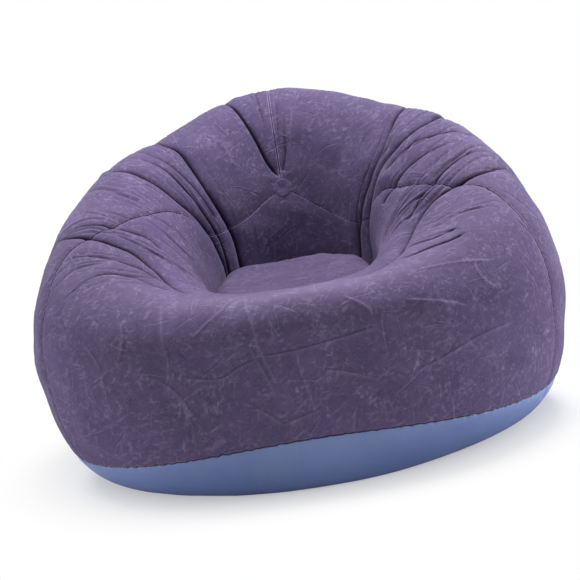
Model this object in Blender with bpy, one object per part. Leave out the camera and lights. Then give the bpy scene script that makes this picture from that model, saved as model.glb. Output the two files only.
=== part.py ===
"""Inflatable lounge chair: three flocked gores and a smooth base, welded edge to edge round a sunk, crowned seat.

The front faces -Y, +X is the right as seen from the front, and the floor is z = 0. Lengths are in metres.
Every length follows WIDTH, HEIGHT and the film and valve sizes below, so the chair can be made at another size.
"""
import math

import bmesh
import bpy
import numpy as np
from mathutils import Matrix, Vector

# Driving sizes of the blown-up chair.
WIDTH = 1.07
HEIGHT = 0.706
FILM = 0.0012
WELD_GAP = 0.0003
WELD_DEPTH = 0.006
FOLD_DEPTH = 0.020
FOLD_WIDTH = 0.024
SEAM_DIP = 0.005
SEAM_WIDTH = 0.022
SEAT_CROWN = 0.072
TUFT_RADIUS = 0.020
FOOT_WIDTH = 0.016
VENT_RADIUS = 0.028
VENT_COUNT = 8

# Sizes of the two-stage valve.
VALVE_FLANGE_RADIUS = 0.028
VALVE_FLANGE_THICK = 0.0012
NECK_OUTER = 0.017
NECK_WALL = 0.002
NECK_HEIGHT = 0.008
RUN_CLEAR = 0.0003
PLUG_WALL = 0.002
PLUG_DROP = 0.004
PLUG_RIM = 0.0185
PLUG_RIM_THICK = 0.002
PORT_BORE = 0.0055
PORT_WALL = 0.002
PORT_DROP = 0.0103
CAP_RADIUS = 0.0085
CAP_THICK = 0.002
CAP_SPIGOT = 0.0036
CAP_SPIGOT_TOP = 0.0050
CAP_SPIGOT_TIP = 0.0046
CAP_STRAP = 0.0050
CAP_STRAP_THICK = 0.0008
CAP_LIP = 0.0030
HINGE_PAD = 0.0020
HINGE_REACH = 0.01635
HINGE_RISE = 0.0003
FLAP_RADIUS = 0.0070
FLAP_THICK = 0.0008
FLAP_TAB = 0.0045
FLAP_REACH = 0.0122

# The chair's cross-section, as cosine series of the direction from the front, in shares of half the width
# for what lies in plan and of the height for what stands up.
EQUATOR_SHARES = (0.9604, 0.0264, 0.0110, -0.1082)
CREST_SHARES = (0.7174, 0.0542, 0.0164, -0.0260)
BELLY_SHARES = (0.3867, 0.0073, 0.0611, -0.0024)
FLOOR_SHARES = (0.7796, 0.0265, 0.0, 0.0133)
CREST_HEIGHT_SHARES = (0.7694, -0.2330, -0.0322, -0.0068, 0.0224)
EQUATOR_HEIGHT_SHARES = (0.3763, 0.0521)
BELLY_HEIGHT_SHARE = 0.4195
CREASE_HEIGHT_SHARE = 0.371
BASE_SEAM_SHARES = (0.1239, 0.0, 0.0, 0.0191)
OUTER_POWER = 1.9023
INNER_POWER = 2.0202
LOWER_POWER = 2.2816
# The seat's dome: how square its top is, how steeply its edge drops, and how its rings crowd towards the edge.
SEAT_TOP_POWER = 2.4
SEAT_EDGE_POWER = 0.6
SEAT_RING_POWER = 0.42
SEAT_STEEPEST = 2.0

# A place on the skin is a direction in degrees from the front and a level: -1 seat crease, 0 belly of the well,
# 1 crest of the rim, 2 widest line, 3 floor.
SIDE_SEAM = ((60.0, 2.9), (60.5, 2.1), (62.5, 1.5), (65.3, 1.12), (72.0, 0.82), (85.0, 0.60), (105.0, 0.40),
             (130.0, 0.22), (155.0, 0.22), (180.0, 0.31))
CORNER_DEGREES = 60.0
TUFT_LEVEL = 0.31
# Each deep fold: levels up the skin, then the direction it takes there on the left and on the right.
FOLD_LEVELS = (-1.0, 0.0, 0.2, 0.35, 0.5, 0.7, 1.0, 1.5)
FOLD_B_LEFT = (137.0, 136.0, 130.0, 121.0, 112.0, 107.0, 106.0, 106.0)
FOLD_B_RIGHT = (124.0, 123.0, 121.0, 116.0, 110.0, 106.0, 107.0, 108.0)
FOLD_C_LEFT = (149.0, 148.0, 145.0, 141.0, 136.0, 134.0, 133.0, 133.0)
FOLD_C_RIGHT = (138.0, 137.0, 131.0, 123.0, 117.0, 116.0, 119.0, 121.0)
FOLD_END_LEVEL = 1.7

# Directions of the columns of the mesh, of which each fold has one.
FRONT_COLUMN_DEGREES = (0.0, 9.0, 18.0, 27.0, 36.0, 45.0, 53.0, 60.0)
SEAM_STOP_LEVELS = (2.25, 1.85, 1.5, 1.2, 0.98)
ARM_COLUMN_DEGREES = (72.0, 80.0, 90.0)
# How the columns spread: a direction at the crest, then at the crease, and then at the base.
CREASE_SPREAD_DEGREES = ((0.0, 0.0), (60.0, 46.0), (72.0, 72.0))
BASE_SPREAD_DEGREES = ((60.0, 60.0), (72.0, 86.0), (100.0, 104.0), (180.0, 180.0))
PAST_FOLD_DEGREES = 5.5
BETWEEN_SHARE = 0.5
BACK_COLUMN_DEGREES = (153.0, 160.0, 167.0, 173.0, 180.0)
FRONT_ROWS = 9
BACK_ROWS = 12
BASE_ROWS = 4
FLOOR_RINGS = 2
SEAT_RINGS = 5

# Where the valve sits: low in the right rear gore, where nobody leans on it.
VALVE_DEGREES = 147.0
VALVE_LEVEL = 2.12

# Both films of a weld split its faces the same way, by which end lies further along this direction.
SPLIT_WAY = np.array([0.31, 0.73, 0.61])
SEAM_SAMPLES = 160
ARM_TURN = math.radians(100)

HALF = WIDTH / 2


def series(shares, turn):
    return sum(share * np.cos(k * turn) for k, share in enumerate(shares))


def profile(turn, level):
    """Distance from the centre line and height of the smooth skin, with turn in radians."""
    equator, crest = HALF * series(EQUATOR_SHARES, turn), HALF * series(CREST_SHARES, turn)
    belly, floor = HALF * series(BELLY_SHARES, turn), HALF * series(FLOOR_SHARES, turn)
    top, middle = HEIGHT * series(CREST_HEIGHT_SHARES, turn), HEIGHT * series(EQUATOR_HEIGHT_SHARES, turn)
    belly_height, crease = HEIGHT * BELLY_HEIGHT_SHARE, HEIGHT * CREASE_HEIGHT_SHARE
    inner, outer, lower = (np.clip(level - k, 0, 1) * np.pi / 2 for k in range(3))
    down = np.clip(-level, 0, 1)
    power = 2 / INNER_POWER
    r = crest - (crest - belly) * np.cos(inner).clip(0) ** power
    z = belly_height + (top - belly_height) * np.sin(inner).clip(0) ** power - (belly_height - crease) * down
    power = 2 / OUTER_POWER
    r = np.where(level > 1, crest + (equator - crest) * np.sin(outer).clip(0) ** power, r)
    z = np.where(level > 1, middle + (top - middle) * np.cos(outer).clip(0) ** power, z)
    power = 2 / LOWER_POWER
    r = np.where(level > 2, floor + (equator - floor) * np.cos(lower).clip(0) ** power, r)
    z = np.where(level > 2, middle * (1 - np.sin(lower).clip(0) ** power), z)
    return r, z


def plan_centre():
    """How far back the centre line stands, so that the chair's own middle is at the origin."""
    front, back = HALF * series(EQUATOR_SHARES, 0.0), HALF * series(EQUATOR_SHARES, np.pi)
    return (front - (back - SEAM_DIP)) / 2


CENTRE_Y = plan_centre()


def base_level(turn):
    """The level at which the gores meet the base."""
    height = HEIGHT * series(BASE_SEAM_SHARES, turn)
    middle = HEIGHT * series(EQUATOR_HEIGHT_SHARES, turn)
    return 2 + np.arcsin((1 - height / middle) ** (LOWER_POWER / 2)) * 2 / np.pi


def smooth_table(x, xs, ys):
    """A monotone cubic through the points of a table."""
    xs, ys = np.asarray(xs, float), np.asarray(ys, float)
    step = np.diff(xs)
    slope = np.diff(ys) / step
    tangent = np.zeros(len(xs))
    tangent[0], tangent[-1] = slope[0], slope[-1]
    for i in range(1, len(xs) - 1):
        if slope[i - 1] * slope[i] > 0:
            tangent[i] = 2 / (1 / slope[i - 1] + 1 / slope[i])
    x = np.clip(x, xs[0], xs[-1])
    i = np.clip(np.searchsorted(xs, x) - 1, 0, len(step) - 1)
    t = (x - xs[i]) / step[i]
    return ((2 * t ** 3 - 3 * t ** 2 + 1) * ys[i] + (t ** 3 - 2 * t ** 2 + t) * step[i] * tangent[i]
            + (3 * t ** 2 - 2 * t ** 3) * ys[i + 1] + (t ** 3 - t ** 2) * step[i] * tangent[i + 1])


def seam_level(degrees):
    """The level of the side seam in a direction from the corner to the tuft."""
    turns, levels = zip(*SIDE_SEAM)
    return smooth_table(degrees, turns, levels)


def fold_turn(table, level):
    return smooth_table(level, FOLD_LEVELS, table)


def groove(distance, width):
    """Share of a fold's depth at a distance from its line: a narrow cleft between full sides."""
    return np.exp(-np.sqrt((distance / width) ** 2 + 0.04) * 1.6 + 0.32)


def place(turn, r, z):
    return np.stack(np.broadcast_arrays(r * np.sin(turn), CENTRE_Y - r * np.cos(turn), z), -1)


def nearest(points, path):
    """Distance from each point to a path given as closely spaced points."""
    flat = points.reshape(-1, 3)
    return np.sqrt(((flat[:, None] - path) ** 2).sum(-1).min(1)).reshape(points.shape[:-1])


def seam_paths():
    """The side seams, of both halves, and the seam down the back, as closely spaced points on the smooth skin."""
    turn = np.linspace(CORNER_DEGREES, 180.0, SEAM_SAMPLES)
    level = np.minimum(seam_level(turn), base_level(np.radians(turn)))
    rise = np.linspace(TUFT_LEVEL, float(base_level(np.pi)), SEAM_SAMPLES)
    sides = [place(sign * np.radians(turn), *profile(np.radians(turn), level)) for sign in (-1, 1)]
    down = np.linspace(level[1], float(base_level(np.radians(CORNER_DEGREES))), SEAM_SAMPLES)
    drops = [place(sign * np.radians(CORNER_DEGREES), *profile(np.radians(CORNER_DEGREES), down)) for sign in (-1, 1)]
    return np.concatenate(sides + drops + [place(np.pi, *profile(np.pi, rise))])


SEAMS = seam_paths()


def dips(points, turn, level, radius):
    """How deep the folds and seams lie below the smooth skin."""
    side = np.abs(np.degrees(turn))
    left = turn < 0
    depth = SEAM_DIP * groove(nearest(points, SEAMS), SEAM_WIDTH)
    fade = np.clip((FOLD_END_LEVEL - level) / (FOLD_END_LEVEL - 1), 0, 1) ** 0.7
    for left_table, right_table in ((FOLD_B_LEFT, FOLD_B_RIGHT), (FOLD_C_LEFT, FOLD_C_RIGHT)):
        line = np.where(left, fold_turn(left_table, level), fold_turn(right_table, level))
        depth = np.maximum(depth, FOLD_DEPTH * fade * groove(np.radians(side - line) * radius, FOLD_WIDTH))
    return depth


def smooth_normal(turn, level):
    step = 1e-3
    level = np.clip(level, -1 + step, 3 - step)
    along = place(turn, *profile(turn, level + step)) - place(turn, *profile(turn, level - step))
    across = place(turn + step, *profile(turn + step, level)) - place(turn - step, *profile(turn - step, level))
    normal = np.cross(along, across)
    return normal / np.maximum(np.linalg.norm(normal, axis=-1, keepdims=True), 1e-12)


def skin(degrees, level):
    """Points of the skin, with its folds, and the direction out of the air chamber there."""
    turn, level = np.broadcast_arrays(np.radians(degrees).astype(float), np.asarray(level, float))
    r, z = profile(turn, level)
    points, normal = place(turn, r, z), smooth_normal(turn, level)
    return points - normal * dips(points, turn, level, r)[..., None], normal


def columns(b_table, c_table):
    """The directions at the crest of one half's columns, from the front to the back, with each fold's own."""
    b, c = fold_turn(b_table, 1.0), fold_turn(c_table, 1.0)
    turns, levels = np.array(SIDE_SEAM).T
    fine = np.linspace(CORNER_DEGREES, ARM_COLUMN_DEGREES[0], 400)
    stops = [float(np.interp(-level, -seam_level(fine), fine)) for level in SEAM_STOP_LEVELS]
    arm = [x for x in ARM_COLUMN_DEGREES + (b - PAST_FOLD_DEGREES,) if x <= b - PAST_FOLD_DEGREES]
    folds = [b, b + (c - b) * BETWEEN_SHARE, c, c + PAST_FOLD_DEGREES * 1.2]
    return np.array(list(FRONT_COLUMN_DEGREES) + stops + arm + folds + list(BACK_COLUMN_DEGREES))


def follow(label, level, b_table, c_table):
    """Where a column named by its direction at the crest lies at a level: those behind the arm bend with the folds."""
    start = ARM_COLUMN_DEGREES[0]
    if label <= start:
        return np.full(np.shape(level), label)
    shares = [(start, start)] + [(fold_turn(t, 1.0), fold_turn(t, level)) for t in (b_table, c_table)] + [(180.0, 180.0)]
    for (low, low_here), (high, high_here) in zip(shares, shares[1:]):
        if label <= high:
            return low_here + (high_here - low_here) * (label - low) / (high - low)


def typical_run():
    """Levels, and how far along the skin each lies, in the direction of an arm."""
    level = np.linspace(-1, 3, 401)
    path = place(ARM_TURN, *profile(ARM_TURN, level))
    return level, np.concatenate([[0], np.cumsum(np.linalg.norm(np.diff(path, axis=0), axis=1))])


TYPICAL = typical_run()
def run_to(level):
    return np.interp(level, *TYPICAL)


class Side:
    """The columns of one half of the chair: sign -1 is the left half and +1 the right."""

    def __init__(self, sign, b_table, c_table):
        self.sign = sign
        self.tables = (b_table, c_table)
        self.labels = columns(b_table, c_table)
        self.meet = np.array([self.crossing(label) for label in self.labels])

    def crossing(self, label):
        """The level where a column meets the side seam, or the base where it lies in front of the corner."""
        if label <= CORNER_DEGREES:
            return float(base_level(np.radians(label)))
        low, high = -1.0, 2.9
        for _ in range(48):
            middle = (low + high) / 2
            if middle < seam_level(float(follow(label, middle, *self.tables))):
                low = middle
            else:
                high = middle
        return low

    def base_turn(self, index):
        label = self.labels[index]
        return label if label <= CORNER_DEGREES else float(np.interp(label, *zip(*BASE_SPREAD_DEGREES)))

    def crease_turn(self, index):
        label = self.labels[index]
        if label > ARM_COLUMN_DEGREES[0]:
            return float(follow(label, -1.0, *self.tables))
        return float(np.interp(label, *zip(*CREASE_SPREAD_DEGREES)))

    def levels(self, start, end, rows):
        """Levels evenly spaced along a typical column."""
        return np.interp(np.linspace(run_to(start), run_to(end), rows + 1), TYPICAL[1], TYPICAL[0])

    def front_column(self, index):
        """A column's places from the seat crease to its seam: directions and levels."""
        label, meet = self.labels[index], self.meet[index]
        levels = self.levels(-1.0, meet, FRONT_ROWS)
        turns = follow(label, levels, *self.tables)
        if label <= ARM_COLUMN_DEGREES[0]:
            share = (run_to(meet) - run_to(levels)) / (run_to(meet) - run_to(-1.0))
            turns = label + (self.crease_turn(index) - label) * share
        return self.sign * turns, levels

    def back_column(self, index):
        """A column's places from the side seam to the base."""
        label, meet = self.labels[index], self.meet[index]
        end = float(base_level(np.radians(self.base_turn(index))))
        levels = self.levels(meet, end, BACK_ROWS)
        top = run_to(max(1.0, meet))
        share = np.clip((run_to(levels) - top) / (run_to(end) - top), 0, 1)
        last = float(follow(label, end, *self.tables))
        turns = follow(label, levels, *self.tables) + (self.base_turn(index) - last) * share
        return self.sign * turns, levels


LEFT = Side(-1, FOLD_B_LEFT, FOLD_C_LEFT)
RIGHT = Side(1, FOLD_B_RIGHT, FOLD_C_RIGHT)


def mitre(points, normals, closed=True):
    """At each vertex of an outline, the way along the skin into the panel, long enough at a corner to keep the gap."""
    ahead = np.roll(points, -1, 0) - points
    ways = np.cross(normals, ahead)
    ways /= np.maximum(np.linalg.norm(ways, axis=-1, keepdims=True), 1e-12)
    before = np.roll(ways, 1, 0)
    both = ways + before
    return both * (2 / np.maximum((both ** 2).sum(-1, keepdims=True), 0.5))


def shell(name, outer, faces, normals, loops):
    """A film of one thickness whose edges turn inwards as weld fins.

    outer holds the points of the outer face. Each loop is the edge vertices in order, with the panel on their left
    seen from outside, then the way from the weld into the panel and the way its fin points, where they aren't
    those of a plain seam.
    """
    outer, normals = np.array(outer, float), np.array(normals, float)
    inner = outer - normals * FILM
    points, extra = [], []
    count = len(outer)
    walls = []
    for loop, way, fin in loops:
        loop = np.array(loop)
        way = mitre(outer[loop], normals[loop]) if way is None else way
        fin = -normals[loop] if fin is None else np.array(fin, float)
        edge = outer[loop] + way * WELD_GAP / 2
        inside = edge + way * FILM
        first = 2 * count + sum(len(part) for part in extra)
        n = len(loop)
        welded = outer[loop].copy()
        extra.append(np.concatenate([edge + fin * WELD_DEPTH, inside + fin * WELD_DEPTH]))
        outer[loop] = edge
        inner[loop] = inside + fin * FILM
        for i in range(n):
            j = (i + 1) % n
            a, b = loop[i], loop[j]
            lo_a, lo_b, in_a, in_b = first + i, first + j, first + n + i, first + n + j
            strip = [(b, a), (lo_b, lo_a), (in_b, in_a), (count + b, count + a)]
            falls = welded[i] @ SPLIT_WAY > welded[j] @ SPLIT_WAY
            for (far, near), (next_far, next_near) in zip(strip, strip[1:]):
                if falls:
                    walls += [(far, near, next_near), (far, next_near, next_far)]
                else:
                    walls += [(far, near, next_far), (near, next_near, next_far)]
    points = np.concatenate([outer, inner] + extra)
    faces = [tuple(face) for face in faces]
    faces = faces + [tuple(count + i for i in reversed(face)) for face in faces] + walls
    return make_mesh(name, points, faces)


def make_mesh(name, points, faces):
    mesh = bpy.data.meshes.new(name)
    mesh.from_pydata([tuple(p) for p in points], [], faces)
    mesh.update()
    obj = bpy.data.objects.new(name, mesh)
    bpy.context.collection.objects.link(obj)
    return obj


def finish(obj, colour, roughness, smooth=False):
    material = bpy.data.materials.new(obj.name + "_finish")
    material.use_nodes = True
    surface = material.node_tree.nodes["Principled BSDF"]
    surface.inputs["Base Color"].default_value = (*colour, 1)
    surface.inputs["Roughness"].default_value = roughness
    surface.inputs["Metallic"].default_value = 0.0
    material.diffuse_color = (*colour, 1)
    obj.data.materials.append(material)
    for face in obj.data.polygons:
        face.use_smooth = smooth
    return obj


def cut(obj, cutter, operation="DIFFERENCE"):
    """Takes one shape from another, or joins it on, and keeps the helper out of the render."""
    cutter.hide_render = True
    cutter.display_type = "WIRE"
    modifier = obj.modifiers.new(cutter.name, "BOOLEAN")
    modifier.operation = operation
    modifier.solver = "EXACT"
    modifier.object = cutter


def panel(columns_of_points):
    """Vertices, normals and triangles of a sheet from its columns of (points, normals); a column of one point is a tip."""
    points, normals, index = [], [], []
    rows = max(len(column[0]) for column in columns_of_points)
    for column, ways in columns_of_points:
        first = len(points)
        points.extend(column)
        normals.extend(ways)
        index.append([first + (i if len(column) > 1 else 0) for i in range(rows)])
    return points, normals, index


def sheet_faces(index, points, ring=False):
    """Triangles of a sheet, each cell split along its shorter diagonal."""
    points, faces = np.array(points), []
    pairs = list(zip(index, index[1:])) + ([(index[-1], index[0])] if ring else [])
    for near, far in pairs:
        for row in range(len(near) - 1):
            a, b, c, d = near[row], near[row + 1], far[row + 1], far[row]
            if np.linalg.norm(points[a] - points[c]) <= np.linalg.norm(points[b] - points[d]):
                halves = ((a, b, c), (a, c, d))
            else:
                halves = ((a, b, d), (b, c, d))
            faces += [face for face in halves if len(set(face)) == 3]
    return faces


def ring_sides():
    """Every column round the chair once, from the front by the right and the back to the left: (half, column)."""
    last = len(RIGHT.labels) - 1
    return [(RIGHT, i) for i in range(last + 1)] + [(LEFT, i) for i in range(last - 1, 0, -1)]


RING = ring_sides()


def front_panel():
    """The front gore: from the seat crease over the front roll to the base, and back to the tuft along both arms."""
    made = [skin(*side.front_column(i)) for side, i in RING]
    points, normals, index = panel(made)
    outline = [column[-1] for column in index]
    crease = [column[0] for column in index][::-1]
    ways = -np.array(normals)[crease]
    ways[:, 2] = 0
    ways /= np.linalg.norm(ways, axis=-1, keepdims=True)
    return shell("front_panel", points, sheet_faces(index, points, True), normals,
                 ((outline, None, None), (crease, ways, (0, 0, -1))))


def back_columns(side):
    """One rear gore's columns, from the tip at the base corner to the seam down the middle of the back."""
    made = []
    for i, label in enumerate(side.labels):
        if label < CORNER_DEGREES:
            continue
        if label == CORNER_DEGREES:
            points, normals = skin(np.array([side.sign * label]), base_level(np.radians(label)))
        else:
            points, normals = skin(*side.back_column(i))
        made.append((points, normals))
    return made if side.sign > 0 else made[::-1]


def back_panel(name, side, flat=None):
    points, normals, index = panel(back_columns(side))
    points, normals = np.array(points), np.array(normals)
    frame = None
    if flat is not None:
        frame = flatten(points, normals, index, flat)
    if side.sign > 0:
        loop = [column[-1] for column in index] + index[-1][-2::-1] + [column[0] for column in index[-2:0:-1]]
    else:
        loop = [column[-1] for column in index] + [column[0] for column in index[-2:0:-1]] + index[0][:-1]
    return shell(name, points, sheet_faces(index, points), normals, ((loop, None, None),)), frame


def flatten(points, normals, index, target):
    """Lays flat the cell nearest to the valve, whose welded disc holds the film flat there, and returns its frame."""
    cells = [(a, b, row) for a, b in zip(index, index[1:]) for row in range(len(a) - 1)]
    corners = [[a[row], a[row + 1], b[row + 1], b[row]] for a, b, row in cells]
    near = min(corners, key=lambda c: np.linalg.norm(points[c].mean(0) - target))
    centre = points[near].mean(0)
    normal = np.cross(points[near[1]] - points[near[3]], points[near[2]] - points[near[0]])
    normal /= np.linalg.norm(normal)
    if normal @ normals[near].mean(0) < 0:
        normal = -normal
    for i in near:
        points[i] -= normal * ((points[i] - centre) @ normal)
        normals[i] = normal
    up = np.array([0, 0, 1.0])
    up -= normal * (up @ normal)
    up /= np.linalg.norm(up)
    frame = Matrix((up, np.cross(normal, up), normal)).transposed().to_4x4()
    frame.translation = Vector(centre)
    return frame


def base_panel():
    """The smooth base: a shallow tray that turns in under the gores and rests flat on the floor."""
    made = []
    for side, i in RING:
        turn = side.sign * side.base_turn(i)
        start = float(base_level(np.radians(turn)))
        levels = np.linspace(start, 3.0, BASE_ROWS + 1)
        points, normals = skin(np.full(len(levels), turn), levels)
        normals[-1] = (0, 0, -1)
        points[-1][2] = 0
        rim = points[-1]
        centre = np.array([0, CENTRE_Y, 0.0])
        inward = [centre + (rim - centre) * (1 - k / FLOOR_RINGS) for k in range(1, FLOOR_RINGS)]
        made.append((np.vstack([points] + [p[None] for p in inward]),
                     np.vstack([normals] + [np.array([[0, 0, -1.0]])] * len(inward))))
    points, normals, index = panel(made)
    hub = len(points)
    points.append(np.array([0, CENTRE_Y, 0.0]))
    normals.append(np.array([0, 0, -1.0]))
    index = [column + [hub] for column in index]
    outline = [column[0] for column in index][::-1]
    return shell("base_panel", points, sheet_faces(index, points, True), normals, ((outline, None, None),))


def seat_panel():
    """The crowned seat, whose edge drops steeply into the crease all round."""
    made = []
    middle = np.array([0, CENTRE_Y, 0.0])
    height = HEIGHT * CREASE_HEIGHT_SHARE
    for side, i in RING:
        (edge,), _ = skin(np.array([side.sign * side.crease_turn(i)]), -1.0)
        away = edge - middle
        away[2] = 0
        column, ways = [], []
        for k in range(1, SEAT_RINGS + 1):
            share = (k / SEAT_RINGS) ** SEAT_RING_POWER
            drop = 1 - share ** SEAT_TOP_POWER
            rise = SEAT_CROWN * drop ** SEAT_EDGE_POWER
            slope = SEAT_STEEPEST
            if k < SEAT_RINGS:
                slope = (SEAT_EDGE_POWER * SEAT_TOP_POWER * rise / drop * share ** (SEAT_TOP_POWER - 1)
                         / np.linalg.norm(away))
            out = away / np.linalg.norm(away)
            way = out * min(slope, SEAT_STEEPEST) + np.array([0, 0, 1.0])
            column.append(middle + away * share + np.array([0, 0, height + rise]))
            ways.append(way / np.linalg.norm(way) if k < SEAT_RINGS else np.array([0, 0, 1.0]))
        made.append((column, ways))
    points, normals, index = panel(made)
    hub = len(points)
    points.append(middle + np.array([0, 0, height + SEAT_CROWN]))
    normals.append(np.array([0, 0, 1.0]))
    index = [[hub] + column for column in index]
    outline = [column[-1] for column in index]
    return shell("seat_panel", points, sheet_faces(index, points, True), normals, ((outline, None, None),))


def ring_wall():
    """The upright wall inside the chair that ties the seat crease down to the base, with vents for the air."""
    top = HEIGHT * CREASE_HEIGHT_SHARE - WELD_DEPTH - WELD_GAP
    low = FILM + WELD_GAP
    section = ((-FILM / 2, top), (FILM / 2, top), (FILM / 2, low + FILM), (FOOT_WIDTH, low + FILM),
               (FOOT_WIDTH, low), (-FILM / 2, low))
    points, faces = [], []
    middle = np.array([0, CENTRE_Y, 0.0])
    count, n = len(RING), len(section)
    for side, i in RING:
        (edge,), _ = skin(np.array([side.sign * side.crease_turn(i)]), -1.0)
        out = (edge - middle) * (1, 1, 0)
        out /= np.linalg.norm(out)
        points += [np.array([*(edge + out * off)[:2], z]) for off, z in section]
    for i in range(count):
        j = (i + 1) % count
        for k in range(n):
            m = (k + 1) % n
            faces.append((i * n + k, i * n + m, j * n + m, j * n + k))
    wall = make_mesh("seat_ring_wall", points, faces)
    reach = 2 * HALF * BELLY_SHARES[0]
    for k in range(VENT_COUNT // 2):
        turn = math.pi * (k + 0.5) / (VENT_COUNT // 2)
        bpy.ops.mesh.primitive_cylinder_add(vertices=16, radius=VENT_RADIUS, depth=2 * reach,
                                            location=(0, CENTRE_Y, top / 2), rotation=(math.pi / 2, 0, turn))
        vent = bpy.context.object
        vent.name = f"vent_cutter_{k}"
        cut(wall, vent)
    return wall


def turned(name, section, segments=32):
    """A closed section of (radius, height) points spun round the upright axis."""
    bm = bmesh.new()
    vertices = [bm.verts.new((r, 0, z)) for r, z in section]
    edges = [bm.edges.new((a, b)) for a, b in zip(vertices, vertices[1:] + vertices[:1])]
    bmesh.ops.spin(bm, geom=vertices + edges, cent=(0, 0, 0), axis=(0, 0, 1), dvec=(0, 0, 0),
                   angle=2 * math.pi, steps=segments, use_merge=True, use_duplicate=False)
    bmesh.ops.remove_doubles(bm, verts=bm.verts, dist=1e-7)
    bmesh.ops.dissolve_degenerate(bm, dist=1e-8, edges=bm.edges)
    bmesh.ops.recalc_face_normals(bm, faces=bm.faces)
    mesh = bpy.data.meshes.new(name)
    bm.to_mesh(mesh)
    bm.free()
    obj = bpy.data.objects.new(name, mesh)
    bpy.context.collection.objects.link(obj)
    return obj


def disc(name, radius, thick, edge):
    """A round patch with a thinned edge, its underside at height 0."""
    return turned(name, ((0, 0), (radius, 0), (radius - edge, thick), (0, thick)))


def block(name, low, high):
    bm = bmesh.new()
    bmesh.ops.create_cube(bm, size=1)
    for vertex in bm.verts:
        vertex.co = [(a + b) / 2 + c * (b - a) for a, b, c in zip(low, high, vertex.co)]
    mesh = bpy.data.meshes.new(name)
    bm.to_mesh(mesh)
    bm.free()
    obj = bpy.data.objects.new(name, mesh)
    bpy.context.collection.objects.link(obj)
    return obj


def heights_near(obj, frame, radius):
    """The lowest and highest that an object's faces reach along a frame's axis, within a radius of it."""
    inverse = frame.inverted()
    found = []
    obj.data.calc_loop_triangles()
    local = [inverse @ v.co for v in obj.data.vertices]
    for triangle in obj.data.loop_triangles:
        a, b, c = (local[i] for i in triangle.vertices)
        if min(v.xy.length for v in (a, b, c)) > 4 * radius or abs(a.z) > radius:
            continue
        for i in range(25):
            for j in range(25 - i):
                p = a + (b - a) * (i / 24) + (c - a) * (j / 24)
                if p.xy.length <= radius:
                    found.append(p.z)
    return (min(found), max(found)) if found else (0.0, 0.0)


def tuft(panels):
    """The round patch over the point where the three gores meet, and its backing inside the chair."""
    (point,), (normal,) = skin(np.array([180.0]), np.array([TUFT_LEVEL]))
    frame = Vector(normal).to_track_quat("Z", "Y").to_matrix().to_4x4()
    frame.translation = Vector(point)
    reach = [heights_near(p, frame, TUFT_RADIUS) for p in panels]
    patch = disc("tuft_patch", TUFT_RADIUS, FILM, FILM / 2)
    patch.matrix_world = frame @ Matrix.Translation((0, 0, max(high for _, high in reach) + WELD_GAP))
    backing = disc("tuft_backing", TUFT_RADIUS, FILM, FILM / 2)
    low = min(low for low, _ in reach) - WELD_GAP
    backing.matrix_world = frame @ Matrix.Translation((0, 0, low)) @ Matrix.Rotation(math.pi, 4, "X")
    return patch, backing


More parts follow.
